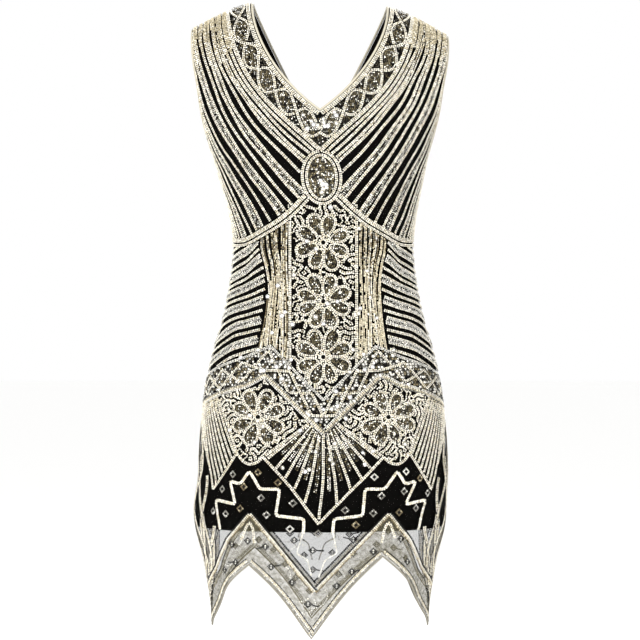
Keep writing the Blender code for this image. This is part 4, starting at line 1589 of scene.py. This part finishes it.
for panel in PANELS:
    beads = []
    for side in SIDES:
        share, z = zigzag_edge(panel, side, np.linspace(0, 1, 240))
        path = mirrored(flat_share(share, -z / MM), side)
        tones, insets = zip(*HEM_ROWS[panel])
        found = strand(panel, path, [-side * inset for inset in insets])
        beads.append(threaded(panel, found, tones, NET_ROOM))
    beaded(f"{panel}_hem_beads", panel, beads)

    path = flat(*eased(CHEVRON_OUT, CHEVRON_ROUND).T)
    share = np.linspace(turn_at(CHEVRON_OUT[-1][0] * MM, -CHEVRON_BEND * MM), 1, 30)
    seam = flat_share(share, lerp(CHEVRON_BEND, CHEVRON_SEAM, (share - share[0]) / (1 - share[0])))
    path = np.vstack([path, seam[1:]]) + (0, CHEVRON_LOWER[panel])
    tones, asides = zip(*CHEVRON_ROWS)
    beads = []
    for side in SIDES:
        found = strand(panel, mirrored(path, side), [side * aside for aside in asides])
        beads.append(threaded(panel, found, tones, NET_ROOM))
    beads += pair(panel, flowing(flat(*np.array(LOOP, float).T)), 2)
    beaded(f"{panel}_chevron_line", panel, beads)

    beads = []
    for side in SIDES:
        for row in BRAID:
            made = dict(zip(BRAID_COLUMNS, row))
            down = np.arange(made["top"], BRAID_TIP, 1.0)
            t = (down - BRAID_CLOSES) / (BRAID_TIP - BRAID_CLOSES)
            turn = (down - made["top"]) / BRAID_SPAN * made["waves"] * math.pi
            wave = np.sin(turn + made["phase"])
            share = lerp(made["share"] + made["swing"] * wave, BRAID_MEETS, smooth(t))
            found = strand(panel, mirrored(flat_share(share, down), side), rows_of(len(BRAID_ROWS)))
            beads.append(threaded(panel, found, BRAID_ROWS, NET_ROOM))
    beaded(f"{panel}_side_strands", panel, beads)

    upper, lower = (flat(*spaced(net, 3.0, True).T) for net in (UPPER_NET, LOWER_NET))
    beads = diamonds(panel, upper, UPPER_EDGES, ("black",) * 4)
    beads += diamonds(panel, lower, ("black",), LOWER_HEART, DIAMOND_STEMS)
    beaded(f"{panel}_diamonds", panel, beads, DIAMOND_BEAD)

    beads = []
    for spot in rng.uniform(lower.min(0), lower.max(0), (SCROLLS, 2)):
        turn = rng.uniform(0, 6.3) + np.linspace(0, rng.uniform(*SCROLL_TURN), 30)
        path = spot + rng.uniform(*SCROLL_RADIUS) * np.stack([np.cos(turn), np.sin(turn)], -1)
        beads.append(line(panel, path[within(lower, path)], 1, "silver", *SCROLL_STITCH))
    beaded(f"{panel}_net_scrolls", panel, beads, SCROLL_BEAD)


# ---- Loose paillettes -------------------------------------------------------------------------
# Large flat sequins are sewn here and there over the finished beadwork, by one stitch each, and so
# they lean all ways and flash. They gather at the V, the medallion, the waist and the hips.

PAILLETTE = (3.4, 0.3, 1.0, 14)  # its radius and half its thickness in mm, its stretch, its sides
PAILLETTE_LEAN = 13  # degrees
PAILLETTE_LIFT = 1.9  # mm
PAILLETTE_EDGE = 5.0 * np.array([(1, 0), (-1, 0), (0, 1), (0, -1)])  # mm kept from the cloth's edge
PAILLETTE_TONES = {"white": "#FFFFFF", "pearl": "#F1EEE4"}
# The middle of each cluster, out and down, its spread, and how many there are on each side.
PAILLETTES = (
    ((5, 178), (8, 8), 5),
    ((22, 152), (12, 14), 4),
    ((2, 260), (6, 11), 5),
    ((64, 430), (10, 26), 6),
    ((18, 405), (18, 60), 6),
    ((70, 517), (20, 15), 11),
    ((26, 572), (16, 13), 5),
    ((88, 590), (24, 22), 6),
    ((34, 645), (22, 9), 4),
)

# Pearl-white metallised sequins: they mirror the light almost whole.
pearl = tone_material(
    "Pearl_metallised_sequins", PAILLETTE_TONES, (0.92, 1.1), Roughness=0.15, Metallic=0.9
)

for panel in PANELS:
    fill = []
    for middle, spread, count in PAILLETTES:
        for side in SIDES:
            spots = mirrored(flat(*rng.normal(middle, spread, (count, 2)).T), side)
            spots = spots[[not off_cloth[panel][cells(spot + PAILLETTE_EDGE)].any() for spot in spots]]
            tone = rng.integers(0, len(PAILLETTE_TONES), len(spots))
            fill.append(np.column_stack([spots, np.tile((0, 1), (len(spots), 1)), tone]))
    made = (pearl, "sequins", PAILLETTE_TONES, PAILLETTE, PAILLETTE_LEAN, PAILLETTE_LIFT)
    sewn(f"{panel}_paillettes", panel, fill, *made)


# ---- Bindings and hem edging ------------------------------------------------------------------
# The neck and armholes are bound with narrow champagne satin, rolled over net and lining together.
# The zigzag hem is finished with a rolled cord of grey-beige cotton.

NECK_BINDING_RADIUS = 0.0017
ARMHOLE_BINDING_RADIUS = 0.0017
HEM_EDGING_RADIUS = 0.0013
TRIM_CLEARANCE = 0.00035
LAYER_GAP = 0.0005  # between net and lining
LAYERS_MIDDLE = (NET_THICKNESS + LAYER_GAP + LINING_THICKNESS) / 2
EDGE_STEPS = 61
NEAR_EDGE = (0.01, 0.001)  # share round and height, from a cut edge to the cloth beside it
NEAR_STEP = (0.004, 0.0005)  # and from there on, to find which way that cloth faces
TWILL_SCALE = 60.0  # wave scale: ridges 6 mm apart, coarser than real twill, or none would show
TWIST_SCALE = 110.0  # wave scale: the turns of the cord's twist, 3.3 mm apart

# Silk satin bias: smooth and lightly lustrous, with a fine slanting twill where it is rolled.
satin, satin_shader = new_material(
    "Champagne_satin_bias", Base_Color=linear("#A19B8A"), Roughness=0.5, Specular_IOR_Level=0.3
)
twill_place = add_node(satin, "ShaderNodeTexCoord").outputs["Object"]
twill = add_node(
    satin, "ShaderNodeTexWave", {"bands_direction": "DIAGONAL"}, Vector=twill_place, Scale=TWILL_SCALE
)
ridges_up = twill.outputs["Fac"]
twill_bump = add_node(satin, "ShaderNodeBump", Height=ridges_up, Strength=0.3, Distance=0.0002)
satin.node_tree.links.new(twill_bump.outputs[0], satin_shader["Normal"])

# Rolled cotton cord: soft grey-beige, matt, with the slant of its twist.
cord, cord_shader = new_material(
    "Twisted_cotton_cord", Base_Color=linear("#7A766B"), Roughness=0.85, Specular_IOR_Level=0.15
)
twist_place = add_node(cord, "ShaderNodeTexCoord").outputs["Object"]
twist = add_node(
    cord, "ShaderNodeTexWave", {"bands_direction": "DIAGONAL"}, Vector=twist_place, Scale=TWIST_SCALE
)
twists_up = twist.outputs["Fac"]
twist_bump = add_node(cord, "ShaderNodeBump", Height=twists_up, Strength=0.6, Distance=0.0004)
cord.node_tree.links.new(twist_bump.outputs[0], cord_shader["Normal"])


def half_edge(panel, side, edge):
    """(points, normals) along a cut edge of half a panel, as it hangs before it settles."""
    steps = np.linspace(0, 1, EDGE_STEPS)
    if edge == "neck":
        x, z = neck_edge(panel, steps)
    elif edge == "hem":
        share, z = zigzag_edge(panel, side, steps)
        x = skirt_x(share, z)
    else:
        z = lerp(UNDERARM_Z, SHOULDER_TIP_Z, smooth(steps))
        x = form_at("half_width", z)
    turn = turn_at(x, z)
    round_by, up_by = NEAR_EDGE
    more_round, more_down = NEAR_STEP
    near_turn = np.clip(turn + (round_by if edge == "neck" else -round_by), 0.0, 1)
    near_z = z - up_by if edge != "hem" else z + up_by
    near = [(near_turn, near_z), (near_turn + more_round, near_z), (near_turn, near_z - more_down)]
    points = []
    for t, height in [(turn, z), *near]:
        reach = form_reach(height)
        points.append(on_form(panel, side * reach * np.sin(np.clip(t, 0, 1) * math.pi / 2), height))
    out = np.cross(points[2] - points[1], points[3] - points[1]) * PANELS[panel]["facing"] * side
    return points[0], out / np.linalg.norm(out, axis=1)[:, None]


def joined(stretches):
    points = np.vstack([p for p, _ in stretches])
    normals = np.vstack([n for _, n in stretches])
    keep = np.linalg.norm(points - np.roll(points, 1, axis=0), axis=1) > 3 * SEAM_GAP
    return points[keep], normals[keep]


def turned(stretch):
    return stretch[0][::-1], stretch[1][::-1]


def off_edge(points, normals, away, inset):
    """A closed line moved off the cloth's edge, mitred at its corners, and in from its face."""
    before = points - np.roll(points, 1, axis=0)
    after = np.roll(points, -1, axis=0) - points
    sides = []
    for way in (before, after):
        side = np.cross(way, normals)
        sides.append(side / np.linalg.norm(side, axis=1)[:, None])
    way = sides[0] + sides[1]
    way /= np.linalg.norm(way, axis=1)[:, None]
    reach = away / np.maximum(0.5, (way * sides[0]).sum(1))
    return points + way * reach[:, None] - normals * inset


def trim(name, stretches, radius, inset, material):
    points, normals = joined(stretches)
    line_points = settle(off_edge(points, normals, radius + TRIM_CLEARANCE, inset))
    curve = bpy.data.curves.new(name, "CURVE")
    curve.dimensions = "3D"
    curve.bevel_depth = radius
    curve.bevel_resolution = 3
    spline = curve.splines.new("POLY")
    spline.points.add(len(line_points) - 1)
    spline.points.foreach_set("co", np.column_stack([line_points, np.ones(len(line_points))]).ravel())
    spline.use_cyclic_u = True
    rolled = bpy.data.objects.new(name + "_line", curve)
    mesh = bpy.data.meshes.new_from_object(rolled)
    bpy.data.objects.remove(rolled)
    mesh.name = name
    mesh.shade_smooth()
    mesh.materials.append(material)
    obj = bpy.data.objects.new(name, mesh)
    bpy.context.scene.collection.objects.link(obj)
    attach(obj, "root")
    return obj


edges = {
    (panel, side, edge): half_edge(panel, side, edge)
    for panel in PANELS
    for side in SIDES
    for edge in ("neck", "armhole", "hem")
}
binding = trim(
    "neck_bias_binding",
    [
        turned(edges["front", 1, "neck"]),
        edges["front", -1, "neck"],
        turned(edges["back", -1, "neck"]),
        edges["back", 1, "neck"],
    ],
    NECK_BINDING_RADIUS,
    LAYERS_MIDDLE,
    satin,
)
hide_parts("neck_binding")
for name, side in (("left", -1), ("right", 1)):
    up, low = ("front", "back") if side > 0 else ("back", "front")
    binding = trim(
        f"armhole_bias_binding_{name}",
        [edges[up, side, "armhole"], turned(edges[low, side, "armhole"])],
        ARMHOLE_BINDING_RADIUS,
        LAYERS_MIDDLE,
        satin,
    )
    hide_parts(f"armhole_binding_{name}")
hem = trim(
    "rolled_hem_edging",
    [
        turned(edges["front", -1, "hem"]),
        edges["front", 1, "hem"],
        turned(edges["back", 1, "hem"]),
        edges["back", -1, "hem"],
    ],
    HEM_EDGING_RADIUS,
    NET_THICKNESS / 2,
    cord,
)
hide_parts("hem_edging")


# ---- Camera, floor and light ------------------------------------------------------------------
# A long lens square to the front, level with the middle of the dress, which hangs clear above a pale
# floor in front of a plain white background, lit by one strong lamp and two weaker ones.

CAMERA_AWAY = 3.2
CAMERA_HEIGHT = -0.449
FIELD_AT_DRESS = 0.9127  # width in view in the plane of the side seams
SENSOR = 36  # mm
FLOOR_Z = -1.35
FLOOR_SIZE = 60
BACKGROUND = "#FFFFFF"
PAPER = "#FDFDFC"

camera = bpy.data.objects.new("camera", bpy.data.cameras.new("camera"))
camera.data.sensor_width = SENSOR
camera.data.lens = SENSOR * CAMERA_AWAY / FIELD_AT_DRESS
camera.location = (0, -CAMERA_AWAY, CAMERA_HEIGHT)
camera.rotation_euler = (math.radians(90), 0, 0)
bpy.context.scene.collection.objects.link(camera)
bpy.context.scene.camera = camera

paper, _ = new_material("Matt_studio_paper", Base_Color=linear(PAPER), Roughness=0.95)
ground = bmesh.new()
bmesh.ops.create_grid(ground, x_segments=1, y_segments=1, size=FLOOR_SIZE / 2)
floor_mesh = bpy.data.meshes.new("floor")
ground.to_mesh(floor_mesh)
ground.free()
floor = bpy.data.objects.new("floor", floor_mesh)
floor.location.z = FLOOR_Z
floor_mesh.materials.append(paper)
bpy.context.scene.collection.objects.link(floor)

sky = bpy.data.worlds.new("studio")
sky.use_nodes = True
sky.node_tree.nodes["Background"].inputs["Color"].default_value = linear(BACKGROUND)
sky.node_tree.nodes["Background"].inputs["Strength"].default_value = 1.0
bpy.context.scene.world = sky
bpy.context.scene.view_settings.view_transform = "Standard"

# Each lamp's name, place, size and power in watts.
LIGHTS = (
    ("key", (-1.6, -2.6, 1.2), 1.2, 150),
    ("fill", (2.2, -2.4, -0.1), 1.5, 52),
    ("back", (0.6, 2.8, 1.4), 1.6, 52),
)
for name, place, size, power in LIGHTS:
    lamp = bpy.data.objects.new(name, bpy.data.lights.new(name, "AREA"))
    lamp.data.size = size
    lamp.data.energy = power
    lamp.location = place
    aim = Vector((0, 0, CAMERA_HEIGHT)) - lamp.location
    lamp.rotation_euler = aim.to_track_quat("-Z", "Y").to_euler()
    bpy.context.scene.collection.objects.link(lamp)
